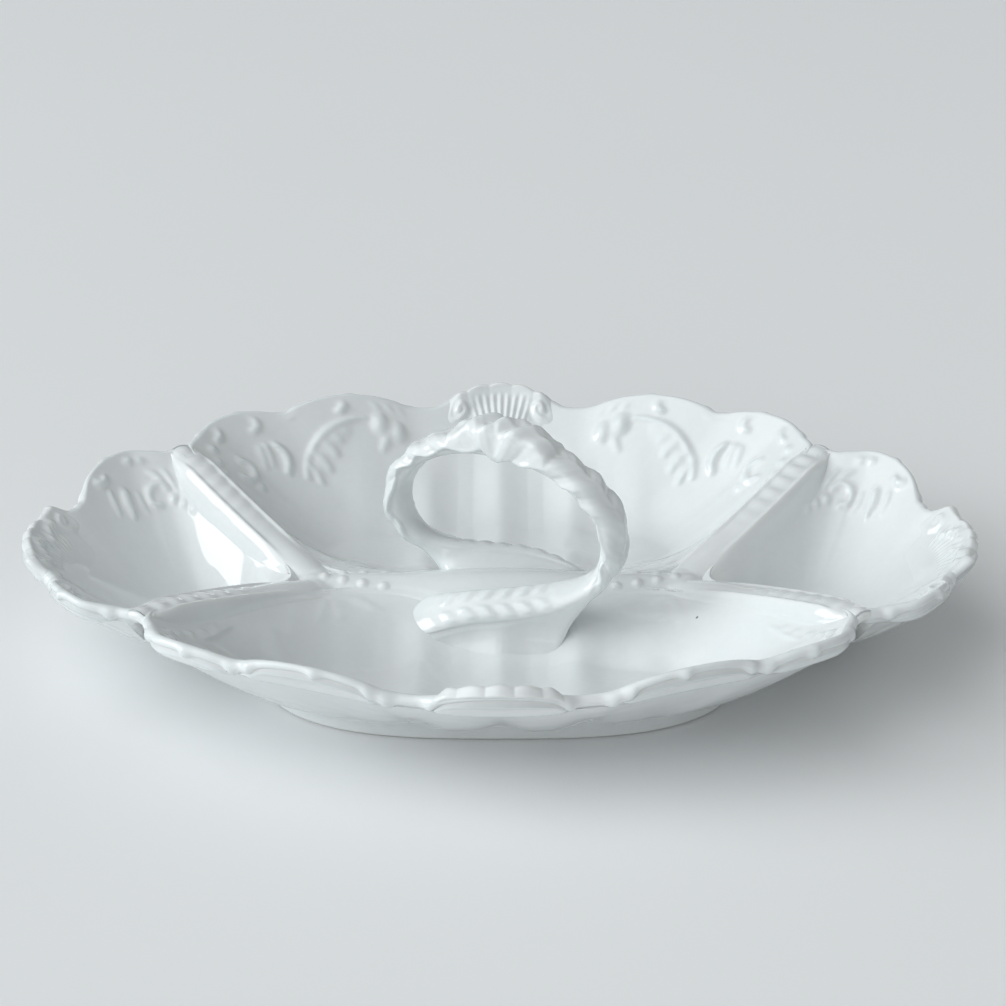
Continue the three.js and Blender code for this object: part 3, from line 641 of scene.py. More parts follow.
SIDE_STROKES = [
    bead(133.8, 59, 2.2, 1.6),
    bead(138, 57.4, 2.4, 1.7),
    (1.6, (1.0, 1.7, 1.4), [(151, 46.4), (149.6, 42.8), (146.2, 42.4), (144.8, 45.4)]),
    bead(156.2, 35.4, 2.6, 1.6),
    (1.5, (2.2, 2.7, 0.8), [(137.8, 44.6), (136.4, 41.4), (133.8, 37.6)]),
    (1.0, (1.0, 1.4, 0.5), [(142.6, 41.6), (141, 38.8), (138.6, 35.8)]),
    (0.9, (0.9, 1.3, 0.4), [(133.4, 47), (131.4, 44.2), (128.8, 41.6)]),
    (1.4, (1.0, 1.5, 1.2), [(122.6, 51.2), (126.4, 52.2), (129.4, 49), (128, 45.2), (124.8, 45.6)]),
    bead(120.2, 48, 1.8, 1.2),
    bead(116.2, 46, 1.6, 1.1),
    bead(112.8, 43.4, 1.4, 1.0),
    (1.1, (0.6, 1.2, 0.4), [(125, 57), (122.4, 54.6), (119.4, 51.4)]),
    (0.9, (0.5, 1.0, 0.4), [(118, 52.6), (112.4, 46.6), (107, 40.4)]),
    (1.0, (0.5, 1.2, 0.5), [(130.6, 55.6), (127, 54.6), (123.6, 52.6)]),
]


def stroke_field(x, y, strokes):
    """Height of the highest stroke over plan points of one quarter."""
    height = np.zeros(x.shape)
    for top, widths, points in strokes:
        line, _ = curve(points, STROKE_SAMPLES)
        share = np.linspace(0, 1, STROKE_SAMPLES)
        half = np.interp(share, [0, 0.5, 1], widths)
        widest = max(widths)
        near = (x > line[:, 0].min() - widest) & (x < line[:, 0].max() + widest)
        near &= (y > line[:, 1].min() - widest) & (y < line[:, 1].max() + widest)
        if not near.any():
            continue
        gap = (x[near][:, None] - line[:, 0]) ** 2 + (y[near][:, None] - line[:, 1]) ** 2
        ratio = np.min(gap / half ** 2, axis=1)
        height[near] = np.maximum(height[near], top * np.clip(1 - ratio, 0, None) ** STROKE_ROUNDNESS)
    return height


def flutes(x, climb):
    """Soft crests that cross the broad wells from the middle divider to the rim."""
    trough = np.hypot(np.sin(math.pi * x / FLUTE_PITCH), FLUTE_CREST_SOFTNESS)
    middle = smoothstep(FLUTES_HALF_LENGTH, FLUTES_FULL_HALF_LENGTH, np.abs(x))
    return FLUTE_HEIGHT * np.clip(1 - trough, 0, None) * middle * (1 - smoothstep(*FLUTE_FADE, climb))


def soften_field(field, passes):
    """Smooths heights over a grid whose columns close round."""
    for _ in range(passes):
        field = field / 2 + (np.roll(field, 1, axis=1) + np.roll(field, -1, axis=1)) / 4
        middle = field[1:-1] / 2 + (field[:-2] + field[2:]) / 4
        field = np.concatenate([field[:1], middle, field[-1:]])
    return field


def relief(points, floor):
    """Height of the ornament over a well's plain upper face."""
    x, y = np.abs(points[:, :, 0]), np.abs(points[:, :, 1])
    height = RELIEF * stroke_field(x, y, BROAD_STROKES if floor["x"] == 0 else SIDE_STROKES)
    return soften_field(height, RELIEF_PASSES)


# Wells
def well_points(edges, floor, shares):
    """Upper face of a well, one row of points for each row of shares of the way from floor to rim."""
    angle = np.arctan2((edges["base"][:, 1] - floor["y"]) / floor["spread_y"],
                       (edges["base"][:, 0] - floor["x"]) / floor["spread_x"])
    centre = np.array([floor["x"], floor["y"]])
    spoke = np.stack([floor["half_x"] * np.cos(angle), floor["half_y"] * np.sin(angle)], axis=1)
    inner = np.clip(1 + shares, 0, 1)[:, :, None]
    climb = np.clip(shares, 0, None)
    fade = climb ** LOBE_FADE
    sharp = smoothstep(*CORNER_SHARPENS, climb)
    plan = centre + spoke * inner + (edge_at(edges, "base", sharp) - centre - spoke) * climb[:, :, None]
    plan = plan + edge_at(edges, "lobe", sharp) * fade[:, :, None]
    bow = ((climb * climb + FLOOR_EASE ** 2) ** (WALL_BOW / 2) - FLOOR_EASE ** WALL_BOW)
    bow = bow / ((1 + FLOOR_EASE ** 2) ** (WALL_BOW / 2) - FLOOR_EASE ** WALL_BOW)
    z = FLOOR_TOP + (edge_at(edges, "height", sharp) - FLOOR_TOP) * bow
    z = z + edge_at(edges, "rise", sharp) * fade
    if floor["x"] == 0:
        z = z + flutes(plan[:, :, 0], climb)
    return np.concatenate([plan, z[:, :, None]], axis=2)


def grid_normals(rows, closed):
    if closed:
        along = np.roll(rows, -1, axis=1) - np.roll(rows, 1, axis=1)
    else:
        along = np.gradient(rows, axis=1)
    normals = unit(np.cross(along, np.gradient(rows, axis=0)))
    return normals * np.where(normals[:, :, 2:] < 0, -1, 1)


def rim_angle(edges):
    base = edges["base"]
    return fold(np.degrees(np.arctan2(base[:, 1] / RIM_HALF_WIDTH, base[:, 0] / RIM_HALF_LENGTH)))


def wall_and_lip(edges, floor, wall_shares, lip_angles, closed):
    """Rows up a well's wall and round its lip, with their normals."""
    upper_half = np.array([[0.5], [1.0]]) * np.ones(len(edges["height"]))
    length = np.linalg.norm(np.diff(well_points(edges, floor, upper_half), axis=0)[0], axis=1)
    end = 1 - edges["lip"] * LIP_START / (2 * length)
    shares = np.where(wall_shares[:, None] > 0, wall_shares[:, None] * end, wall_shares[:, None])
    wall = well_points(edges, floor, shares)
    normals = grid_normals(wall, closed)
    normals[wall_shares < 0] = (0, 0, 1)
    ornament = relief(wall, floor) * smoothstep(*RELIEF_FADE, wall_shares)[:, None]
    wall = wall + normals * ornament[:, :, None]
    n = normals[-1]
    tau = wall[-1] - wall[-3]
    tau = unit(tau - n * np.sum(tau * n, axis=1, keepdims=True))
    angle = rim_angle(edges)
    knots = np.clip(sum(bell(angle - knot, KNOT_SPREAD) for knot in LIP_KNOTS), 0, 1)
    lip = edges["lip"]
    tall = np.clip(edges["rise"] / LOBE_TOP, 0, 1)
    radius = WALL / 2 + (LIP_RADIUS - WALL / 2) * lip
    radius = radius * (1 + (KNOT_SWELL * knots - LIP_THINNING * tall) * lip)
    c, s = np.cos(lip_angles)[:, None, None], np.sin(lip_angles)[:, None, None]
    around = c * n + s * tau
    bend = c * n + s * tau * (LIP_BLUNTNESS + (1 - LIP_BLUNTNESS) * lip)[:, None]
    roll = wall[-1] - n * radius[:, None] + bend * radius[:, None]
    return np.concatenate([wall, roll]), np.concatenate([normals, around])


FLOOR_SHARES = np.linspace(-FLOOR_REACH, 0, FLOOR_ROWS, endpoint=False)
WALL_SHARES = np.concatenate([FLOOR_SHARES, np.linspace(0, 1, WALL_ROWS) ** WALL_CROWDING])
UNDER_ROWS = [np.linspace(*rows) for rows in (UNDER_RIDGE_ROWS, UNDER_WALL_ROWS)]
UNDER_SHARES = np.concatenate([*UNDER_ROWS, UNDER_FLOOR_ROWS])
LIP_ANGLES = np.linspace(0, LIP_TURN, LIP_ROWS + 1)[1:]


def well_rows(edges, floor):
    upper, _ = wall_and_lip(edges, floor, WALL_SHARES, LIP_ANGLES, True)
    count = len(edges["height"])
    under = well_points(edges, floor, UNDER_SHARES[:, None] * np.ones(count))
    normals = grid_normals(under, True)
    normals[UNDER_SHARES < UNDER_FLAT] = (0, 0, 1)
    level = edges["height"] - RIDGE_DROP
    ridge = RIDGE_HEIGHT * bell(under[:, :, 2] - level, RIDGE_SPREAD)
    ridge = ridge * edges["lip"] * smoothstep(*RIDGE_FADE, edges["rise"])
    return upper, under - normals * (WALL + ridge)[:, :, None]


BACK = back_outline(*BROAD_COUNTS)
RIGHT = right_outline(*SIDE_COUNTS)
FRONT_FLOOR = dict(BROAD_FLOOR, y=-BROAD_FLOOR["y"])
LEFT_FLOOR = dict(SIDE_FLOOR, x=-SIDE_FLOOR["x"])
WELLS = {
    "back": (BACK, BROAD_FLOOR),
    "front": (flip_edges(BACK, 1, -1), FRONT_FLOOR),
    "right": (RIGHT, SIDE_FLOOR),
    "left": (flip_edges(RIGHT, -1, 1), LEFT_FLOOR),
}
pieces = {}
top_points, top_faces = [], []
under_points, under_faces = [], []


def add_surface(points, faces, grid):
    start = sum(len(block) for block in points)
    points.append(grid.reshape(-1, 3))
    faces.append(grid_quads(grid.shape[0], grid.shape[1], True, start))


for side, (edges, floor) in WELLS.items():
    upper, under = well_rows(edges, floor)
    turned = side in ("front", "left")
    pieces["well_" + side] = tube_mesh("dish_well_" + side, np.concatenate([upper, under]), turned)
    add_surface(top_points, top_faces, upper[:FLOOR_ROWS + WALL_ROWS:2, ::2])
    add_surface(under_points, under_faces, under[:, ::2])


def surface_tree(points, faces):
    return BVHTree.FromPolygons(np.concatenate(points).tolist(), np.concatenate(faces).tolist())


WELL_TREE = surface_tree(top_points, top_faces)


def level_under(tree, x, y):
    """Height of a surface under a plan point, or None beside it."""
    hit = tree.ray_cast(Vector((x, y, RAY_TOP)), Vector((0, 0, -1)))[0]
    return hit.z if hit else None


def flow_into_wells(points, inside):
    """Raises a band's edges on to the wells with a soft inner corner, and sinks its outer border."""
    shape = points.shape[:2]
    level = np.full(shape, NO_WELL)
    for i, j in np.ndindex(shape):
        under = level_under(WELL_TREE, points[i, j, 0], points[i, j, 1])
        if under is not None:
            level[i, j] = under
    z = points[:, :, 2]
    soft = np.clip(BAND_FILLET - np.abs(z - level), 0, None) ** 2 / (4 * BAND_FILLET)
    raised = np.maximum(z, level) + soften_field(soft, BAND_FILLET_PASSES) * inside
    sunk = np.where(level > 0, BAND_SINK * (1 - inside), 0)
    return np.concatenate([points[:, :, :2], (raised - sunk)[:, :, None]], axis=2)


# Dividers: a crowned band along the spine, and four arms that run out to the rim
def band_profile(d, swell):
    crown = BAND_CROWN + SPINE_SWELL_CROWN * swell
    edge = BAND_EDGE_FALL * (1 - swell) * np.clip(np.abs(d) - BAND_EDGE, 0, None) ** 2
    return crown - (BAND_ROUNDNESS + SWELL_ROUNDNESS * swell) * d * d - edge


def strip_profile(d, ridge):
    """An arm's section: a nearly flat strip between two ridges, with steep sides."""
    ridges = ridge * bell(np.abs(d) - ARM_RIDGE_PLACE, ARM_RIDGE_SPREAD)
    flanks = ARM_FLANK_FALL * np.clip(np.abs(d) - ARM_FLANK, 0, None) ** 2
    return ARM_HEIGHT - ARM_ROUNDNESS * d * d + ridges - flanks


def husks(from_rim, d):
    """Overlapping husks along the outer part of an arm."""
    phase = (from_rim + HUSK_BOW * d * d) / HUSK_SPACING
    lump = 0.5 - 0.5 * np.cos(2 * math.pi * phase)
    width = np.clip(1 - (d / HUSK_HALF_WIDTH) ** 2, 0, None)
    return HUSK_HEIGHT * lump * width * smoothstep(*HUSK_FADE, from_rim)


ARM_SAMPLES = np.linspace(0, 1, ARM_SAMPLE_COUNT)
ARM_LINE = arm_points(ARM_SAMPLES)
ARM_RUN = np.concatenate([[0], np.cumsum(np.linalg.norm(np.diff(ARM_LINE, axis=0), axis=1))])
SPINE_BEADS = [
    bead(62, 0.6, 2.0, 0.8),
    bead(55.5, 2.4, 2.1, 0.8),
    bead(48.5, 4.2, 2.2, 0.9),
    bead(41, 5.8, 2.2, 0.9),
]


def arm_mesh(name, flip_x, flip_y):
    t = np.linspace(ARM_OVERLAP / 2, 1, ARM_ROWS)
    side = np.linspace(-1, 1, ARM_COLUMNS)
    end = smoothstep(*ARM_ENDS, t)[:, None]
    d = side[None] * (BAND_REACH - ARM_END_NARROWING * end)
    middle, across = arm_points(t), arm_across(t)
    from_rim = ARM_RUN[-1] - np.interp(t, ARM_SAMPLES, ARM_RUN)
    plan = middle[:, None] + across[:, None] * d[:, :, None]
    shaped = smoothstep(*ARM_SHAPES, t)[:, None]
    section = band_profile(d, 0) * (1 - shaped) + strip_profile(d, ARM_RIDGE * (1 - end)) * shaped
    z = arm_height(t)[:, None] + section + husks(from_rim[:, None], d)
    z = z - end * (ARM_END_DROP + ARM_SIDE_DROP * (d / BAND_REACH) ** 2)
    z = z - SEAM_SINK * smoothstep(ARM_SEAM, ARM_OVERLAP / 2, t)[:, None]
    top = np.concatenate([plan, z[:, :, None]], axis=2)
    top = flow_into_wells(top, smoothstep(*BAND_BORDER, np.abs(side)))
    outward = np.append(arm_along([1.0])[0], 0)
    ends = []
    for a in np.linspace(0, ARM_ROLL_TURN, ARM_ROLL_ROWS)[1:]:
        shift = outward * (ARM_TIP + ARM_ROLL * math.sin(a))
        ends.append(top[-1] + shift - np.array([0, 0, ARM_ROLL * (1 - math.cos(a))]))
    top = np.concatenate([top, np.array(ends)])
    sunk = np.concatenate([end[:, 0], np.ones(len(ends))])[:, None]
    bottom = top - np.array([0, 0, ARM_DEPTH])
    bottom[:, :, 2] -= ARM_PLUG * sunk
    bottom[:, :, :2] -= outward[:2] * (ARM_PLUG * ARM_PLUG_LEAN * sunk)[:, :, None]
    flip = np.array([flip_x, flip_y, 1])
    if flip_x * flip_y < 0:
        return slab_mesh(name, (top * flip)[:, ::-1], (bottom * flip)[:, ::-1])
    return slab_mesh(name, top * flip, bottom * flip)


def spine_field(x, y):
    """Height of the spine's band over plan points, and how far across it they lie."""
    ax, ay = np.abs(x), np.abs(y)
    near = np.full(x.shape, np.inf)
    t_near = np.zeros(x.shape)
    for k in range(SPINE_ARM_SAMPLES):
        gap = np.hypot(ax - ARM_LINE[k, 0], ay - ARM_LINE[k, 1])
        closer = gap < near
        near[closer] = gap[closer]
        t_near[closer] = ARM_SAMPLES[k]
    arm = near / (DIVIDER_WIDTH / 2)
    spine = np.hypot(np.clip(ax - JUNCTION_X, 0, None), ay) / spine_half_width(x)
    gap = np.clip(0.5 + 0.5 * (spine - arm) / SPINE_BLEND, 0, 1)
    across = np.clip(spine * (1 - gap) + arm * gap - SPINE_BLEND * gap * (1 - gap), 0, None)
    swell = spine_swell(x) * (1 - gap)
    height = spine_height(x) * (1 - gap) + arm_height(t_near) * gap
    z = height + band_profile(across * DIVIDER_WIDTH / 2, swell) + stroke_field(ax, ay, SPINE_BEADS)
    return z, across, t_near


def spine_mesh(name):
    x, y = np.meshgrid(*[np.arange(*span, BAND_STEP) for span in SPINE_GRID], indexing="ij")
    z, across, t_near = spine_field(x, y)
    inside = (across < BAND_REACH * 2 / DIVIDER_WIDTH) & (t_near < ARM_OVERLAP)
    cells = inside[:-1, :-1] & inside[1:, :-1] & inside[1:, 1:] & inside[:-1, 1:]
    number = np.arange(x.size).reshape(x.shape)
    i, j = np.nonzero(cells)
    quads = np.stack([number[i, j], number[i + 1, j], number[i + 1, j + 1], number[i, j + 1]], axis=1)
    used, packed = np.unique(quads, return_inverse=True)
    packed = packed.reshape(-1, 4)
    z = z - SEAM_SINK * smoothstep(SPINE_SEAM, ARM_OVERLAP, t_near)
    inner = smoothstep(*BAND_BORDER, across * DIVIDER_WIDTH / 2 / BAND_REACH)
    top = flow_into_wells(np.stack([x, y, z], axis=2), inner).reshape(-1, 3)[used]
    sides = np.concatenate([packed[:, [k, (k + 1) % 4]] for k in range(4)])
    _, first, counts = np.unique(np.sort(sides, axis=1), axis=0, return_index=True, return_counts=True)
    rim = sides[first[counts == 1]]
    size = len(top)
    skirt = np.stack([rim[:, 1], rim[:, 0], rim[:, 0] + size, rim[:, 1] + size], axis=1)
    bottom = top - np.array([0, 0, SPINE_DEPTH])
    top_points.append(top)
    top_faces.append(packed + sum(len(block) for block in top_points[:-1]))
    return build_mesh(name, np.concatenate([top, bottom]), packed, packed[:, ::-1] + size, skirt)


ARMS = {"front_left": (-1, -1), "front_right": (1, -1), "back_left": (-1, 1), "back_right": (1, 1)}
for where, (flip_x, flip_y) in ARMS.items():
    pieces["arm_" + where] = arm_mesh("dish_divider_" + where, flip_x, flip_y)
pieces["spine"] = spine_mesh("dish_divider_spine")


# Fan shells over the rim's four middle lobes
def shell_height(p, q, half_width, depth, lumps, rolled, squiggle):
    """Height of a shell, p from side to side and q from its foot, 0, to the lip, 1, and over it."""
    side = np.abs(p)
    body = DOME_HEIGHT * (1 - p * p) * smoothstep(*DOME_RISE, q) * smoothstep(*DOME_SIDES, side)
    fan_angle = np.arctan2(p * half_width, (q + FAN_ROOT) * depth)
    rib = 0.5 + 0.5 * np.cos(fan_angle * FAN_RIBS)
    zone = smoothstep(*FAN_START, q) * smoothstep(*FAN_END, q) * smoothstep(*FAN_SIDES, side)
    level = BORDER_LEVEL - BORDER_BOW * p * p
    swollen = 1 - BORDER_LUMP + BORDER_LUMP * np.abs(np.cos(p * lumps * math.pi / 2))
    border = rolled * swollen * bell(q - level, BORDER_WIDTH) * smoothstep(*BORDER_SIDES, side)
    groove = bell(q - level + GROOVE_DROP, GROOVE_WIDTH) * smoothstep(*GROOVE_SIDES, side)
    wander = SQUIGGLE_LEVEL + SQUIGGLE_SWING * np.sin(SQUIGGLE_TURNS * p)
    ribbon = squiggle * bell(q - wander, SQUIGGLE_WIDTH) * smoothstep(*SQUIGGLE_SIDES, side)
    volute = np.zeros_like(p)
    for sign in (-1, 1):
        dx, dy = (p - sign * VOLUTE_PLACE[0]) * half_width, (q - VOLUTE_PLACE[1]) * depth
        reach = np.hypot(dx, dy)
        turn = np.arctan2(dy, dx * sign)
        coil = np.cos(turn - reach * VOLUTE_TWIST) * (1 - bell(reach, VOLUTE_EYE))
        volute += (VOLUTE_HEIGHT + VOLUTE_COIL * coil) * bell(reach, VOLUTE_REACH)
    border -= GROOVE_DEPTH * groove
    return body + FAN_RIB_HEIGHT * rib * zone + border + ribbon + volute - SHELL_SINK


def shell_mesh(name, turn, half, lumps, rolled, flare, squiggle, floor):
    p = np.linspace(-1, 1, SHELL_COLUMNS)
    edges = rim_edges(turn + np.radians(half) * SHELL_SPAN * p)
    q_wall = np.linspace(0, 1, SHELL_ROWS)
    q_lip = np.linspace(1, SHELL_END, SHELL_LIP_ROWS)[1:]
    lip_angles = np.linspace(0, SHELL_LIP_TURN, SHELL_LIP_ROWS)[1:]
    points, normals = wall_and_lip(edges, floor, SHELL_FOOT + (1 - SHELL_FOOT) * q_wall, lip_angles, False)
    rim = edges["base"] + edges["lobe"]
    last, middle = SHELL_ROWS - 1, SHELL_COLUMNS // 2
    half_width = np.linalg.norm(rim[0] - rim[-1]) / 2
    depth = np.linalg.norm(points[0, middle] - points[last, middle])
    grid_p, grid_q = np.meshgrid(p, np.concatenate([q_wall, q_lip]))
    height = shell_height(grid_p, grid_q, half_width, depth, lumps, rolled, squiggle)
    height *= smoothstep(SHELL_END, SHELL_END_FADE, grid_q)
    height -= SHELL_TUCK * smoothstep(SHELL_END_FADE, SHELL_END, grid_q)
    reach = unit(points[last] - points[last - SHELL_REACH_ROWS])
    corner = bell(np.abs(grid_p) - FLARE_PLACE, FLARE_SPREAD) * smoothstep(*FLARE_RISE, grid_q)
    points = points + reach * (flare * corner)[:, :, None]
    top = points + normals * height[:, :, None]
    bottom = points - normals * SHELL_DEPTH
    row = SHELL_ROWS // 2
    spans = np.cross(top[row, middle + 1] - top[row, middle], top[row + 1, middle] - top[row, middle])
    if np.dot(spans, normals[row, middle]) < 0:
        top, bottom = top[:, ::-1], bottom[:, ::-1]
    return slab_mesh(name, top, bottom)


SHELL_SIDES = {
    "right": (0.0, 0.0),
    "back": (90.0, math.pi / 2),
    "left": (0.0, math.pi),
    "front": (90.0, -math.pi / 2),
}
for side, (lobe, turn) in SHELL_SIDES.items():
    pieces["shell_" + side] = shell_mesh("dish_shell_" + side, turn, *SHELLS[lobe], WELLS[side][1])


# Foot ring, which spreads a little where it meets the wells
def foot_mesh(name):
    tree = surface_tree(under_points, under_faces)
    angle = np.linspace(0, 2 * math.pi, FOOT_COLUMNS, endpoint=False)
    c, s = np.cos(angle), np.sin(angle)
    reach = (np.abs(c) ** FOOT_SQUARENESS + np.abs(s) ** FOOT_SQUARENESS) ** (-1 / FOOT_SQUARENESS)

    def ring(inset, level):
        x = (FOOT_HALF_LENGTH - inset) * reach * c
        y = (FOOT_HALF_WIDTH - inset) * reach * s
        return np.column_stack([x, y, np.broadcast_to(level, FOOT_COLUMNS)])

    def underside(inset):
        heights = []
        for x, y, _ in ring(inset, 0):
            hit = tree.ray_cast(Vector((x, y, FOOT_RAY_BOTTOM)), Vector((0, 0, 1)))[0]
            heights.append(hit.z if hit else JUNCTION_HEIGHT)
        return np.array(heights)

    outer_top = underside(-FOOT_FLARE - FOOT_FILLET) + FOOT_OUTER_BITE
    inner_top = underside(FOOT_THICKNESS)
    rows = []
    for inset, share in FOOT_INNER_ROWS:
        rows.append(ring(inset, inner_top * share + FOOT_INNER_BITE * (share == 1)))
    for a in np.linspace(0, math.pi / 2, FOOT_INNER_EDGE_ROWS):
        inset = FOOT_THICKNESS - FOOT_INNER_EDGE * (1 - math.cos(a))
        rows.append(ring(inset, FOOT_INNER_EDGE * (1 - math.sin(a))))
    for a in np.linspace(0, math.pi / 2, FOOT_OUTER_EDGE_ROWS):
        rows.append(ring(FOOT_OUTER_EDGE * (1 - math.sin(a)), FOOT_OUTER_EDGE * (1 - math.cos(a))))
    for share in np.linspace(*FOOT_WALL_ROWS):
        level = FOOT_OUTER_EDGE + (outer_top - FOOT_OUTER_EDGE) * share
        outset = FOOT_FLARE * share ** FOOT_FLARE_POWER + FOOT_FILLET * share ** FOOT_FILLET_POWER
        rows.append(ring(-outset, level))
    rows = np.array(rows)
    points = rows.reshape(-1, 3)
    quads = grid_quads(len(rows), FOOT_COLUMNS, True)
    first = np.arange(FOOT_COLUMNS)
    last = (len(rows) - 1) * FOOT_COLUMNS + first
    lid = np.stack([np.roll(first, -1), first, last, np.roll(last, -1)], axis=1)[:, ::-1]
    return build_mesh(name, points, quads, lid)


pieces["foot"] = foot_mesh("dish_foot")


# Handle: a ribbon with leaves on its outer face, whose tails spread on to the dish
def ribbon_frames(count):
    axis = np.array([HANDLE_X, HANDLE_Y, 0.0])
    half = np.array(HALF_RIBBON, float)
    middle, length = curve(np.concatenate([half[:0:-1] + axis, half * (-1, -1, 1) + axis]), count)
    along = unit(np.gradient(middle, axis=0))
    turn = math.radians(RING_TURN)
    right = np.array([math.cos(turn), math.sin(turn), 0])
    outward = right * ((middle - axis) @ right)[:, None]
    outward[:, 2] = middle[:, 2] - RING_MIDDLE_HEIGHT
    outward = unit(outward)
    u = np.linspace(0, 1, count)
    tilt = math.radians(TAIL_TILT)
    lean = np.where(u < 0.5, 1, -1) * math.sin(tilt)
    under = np.stack([np.zeros(count), lean, np.full(count, -math.cos(tilt))], axis=1)
    from_tip = np.minimum(u, 1 - u) * length
    leg = smoothstep(TAIL_LENGTH / 2, TAIL_LENGTH / 2 + TAIL_TWIST_LENGTH, from_tip)
    outward = outward * leg[:, None] + under * (1 - leg)[:, None]
    outward = unit(outward - along * np.sum(outward * along, axis=1, keepdims=True))
    return middle, outward, np.cross(along, outward), from_tip, (u - 0.5) * length, leg


def wave(turns):
    """A wave from 0 to 1, with a crest at each whole turn."""
    return 0.5 + 0.5 * np.cos(2 * math.pi * turns)


def handle_mesh(name):
    count, sides = HANDLE_ROWS, HANDLE_SIDES
    middle, outward, across, from_tip, from_top, leg = ribbon_frames(count)
    angle = np.linspace(0, 2 * math.pi, sides, endpoint=False)
    c, s = np.cos(angle)[None], np.sin(angle)[None]
    reach = (np.abs(c) ** RIBBON_SQUARENESS + np.abs(s) ** RIBBON_SQUARENESS) ** (-1 / RIBBON_SQUARENESS)
    v, w = reach * c, reach * s
    beside = np.abs(v)
    tip, top, ring = from_tip[:, None], from_top[:, None], leg[:, None]
    taper = smoothstep(0, TAIL_TAPER, tip)
    blunt = np.sqrt(np.clip(1 - np.clip(1 - tip / TIP_ROUND, 0, 1) ** 2, TIP_BLUNTNESS, 1))
    half_width = (TIP_HALF_WIDTH + (RIBBON_WIDTH / 2 - TIP_HALF_WIDTH) * taper) * blunt
    half_thick = RIBBON_THICKNESS / 2 * (TIP_THICKNESS + (1 - TIP_THICKNESS) * taper)
    root = TAIL_ROOT * smoothstep(*TAIL_ROOT_ENDS, tip)
    around = np.arctan2(beside, w)
    strand = np.abs(top) / LEAF_PITCH
    strand = strand + LEAF_UNEVENNESS * np.sin(LEAF_UNEVEN_RATE * strand)
    curl = bell(top - CURL_PLACE, CURL_SPREAD) * (v > 0)
    curl = CURL * (curl + bell(top + CURL_PLACE, CURL_SPREAD) * (v < 0))
    border = LEAF_BORDER + LEAF_BORDER_WAVE * wave(strand) ** LEAF_BORDER_SHARPNESS + curl
    leaf = smoothstep(border, border - LEAF_EDGE, around) * smoothstep(*LEAF_ZONE, ring)
    folds = FOLD_HEIGHT * wave(strand + FOLD_LEAN * around) ** FOLD_SHARPNESS
    veins = VEIN_HEIGHT * wave(VEIN_RATE * strand + VEIN_LEAN * around)
    stem = STEM_HEIGHT * bell(v, STEM_WIDTH) * (w > 0)
    ridge = LEAF_RIDGE_HEIGHT * bell(around - border + LEAF_RIDGE_INSET, LEAF_RIDGE_SPREAD)
    leaves = leaf * (LEAF_BODY + folds + veins + stem + ridge)
    inner = smoothstep(*CHEVRON_FACE, -w) * smoothstep(*CHEVRON_START, tip) * smoothstep(*CHEVRON_END, tip)
    chevrons = CHEVRON_HEIGHT * wave((tip - CHEVRON_LEAN * beside) / CHEVRON_PITCH)
    chevrons = chevrons * smoothstep(*CHEVRON_MIDDLE, beside) * smoothstep(*CHEVRON_SIDES, beside)
    dome = np.sqrt(np.clip(1 - (top / CREST_HALF_LENGTH) ** 2, 0, None))
    pleat = np.cos(math.pi * (top + CREST_FOLD_LEAN * v) / CREST_FOLD_PITCH) ** 2
    crest = CREST_HEIGHT * dome * (1 - CREST_FOLD + CREST_FOLD * pleat) * smoothstep(*CREST_FACE, w)
    crest = soften_field(crest, CREST_PASSES)
    way_v = np.sign(v) * beside ** (RIBBON_SQUARENESS - 1) / half_width
    way_w = np.sign(w) * np.abs(w) ** (RIBBON_SQUARENESS - 1) / half_thick
    size = np.hypot(way_v, way_w)
    bump = soften_field(leaves + chevrons * inner, LEAF_PASSES)
    aside = half_width * v + bump * way_v / size
    depth = half_thick * w + np.clip(w, 0, None) * root + bump * way_w / size + crest
    points = middle[:, None] + across[:, None] * aside[:, :, None] + outward[:, None] * depth[:, :, None]
    tree = surface_tree(top_points, top_faces)
    flat = points.reshape(-1, 3)
    rooted = (root > ROOT_START) & (w > ROOT_FACE)
    lift = np.full(count * sides, NOT_ROOTED)
    for k in np.flatnonzero(rooted.ravel()):
        under = level_under(tree, flat[k, 0], flat[k, 1])
        if under is not None:
            lift[k] = flat[k, 2] - under
    lift = np.maximum(lift, -ROOT_SINK)
    spread = ROOT_SPREAD * np.exp(-(lift.reshape(count, sides) + ROOT_SINK) / ROOT_REACH) * v
    inside = v * np.where(top < 0, 1, -1) > 0
    spread = spread * np.where(inside, ROOT_INNER_SHARE, 1) * smoothstep(0, ROOT_FADE, tip)
    side_way = unit(across * np.array([1, 1, 0]))
    flat = (points + side_way[:, None] * spread[:, :, None]).reshape(-1, 3)
    for k in np.flatnonzero(lift < ROOT_FOLLOW):
        under = level_under(tree, flat[k, 0], flat[k, 1])
        if under is not None:
            share = min(1.0, 2 * (1 - lift[k] / ROOT_FOLLOW))
            flat[k, 2] += (under + lift[k] - flat[k, 2]) * share
    points = flat.reshape(count, sides, 3)
    points[:, :, 2] -= TIP_SINK * np.clip(1 - tip / TIP_SINK_LENGTH, 0, None) ** 2
    return tube_mesh(name, points)


pieces["handle"] = handle_mesh("dish_handle")


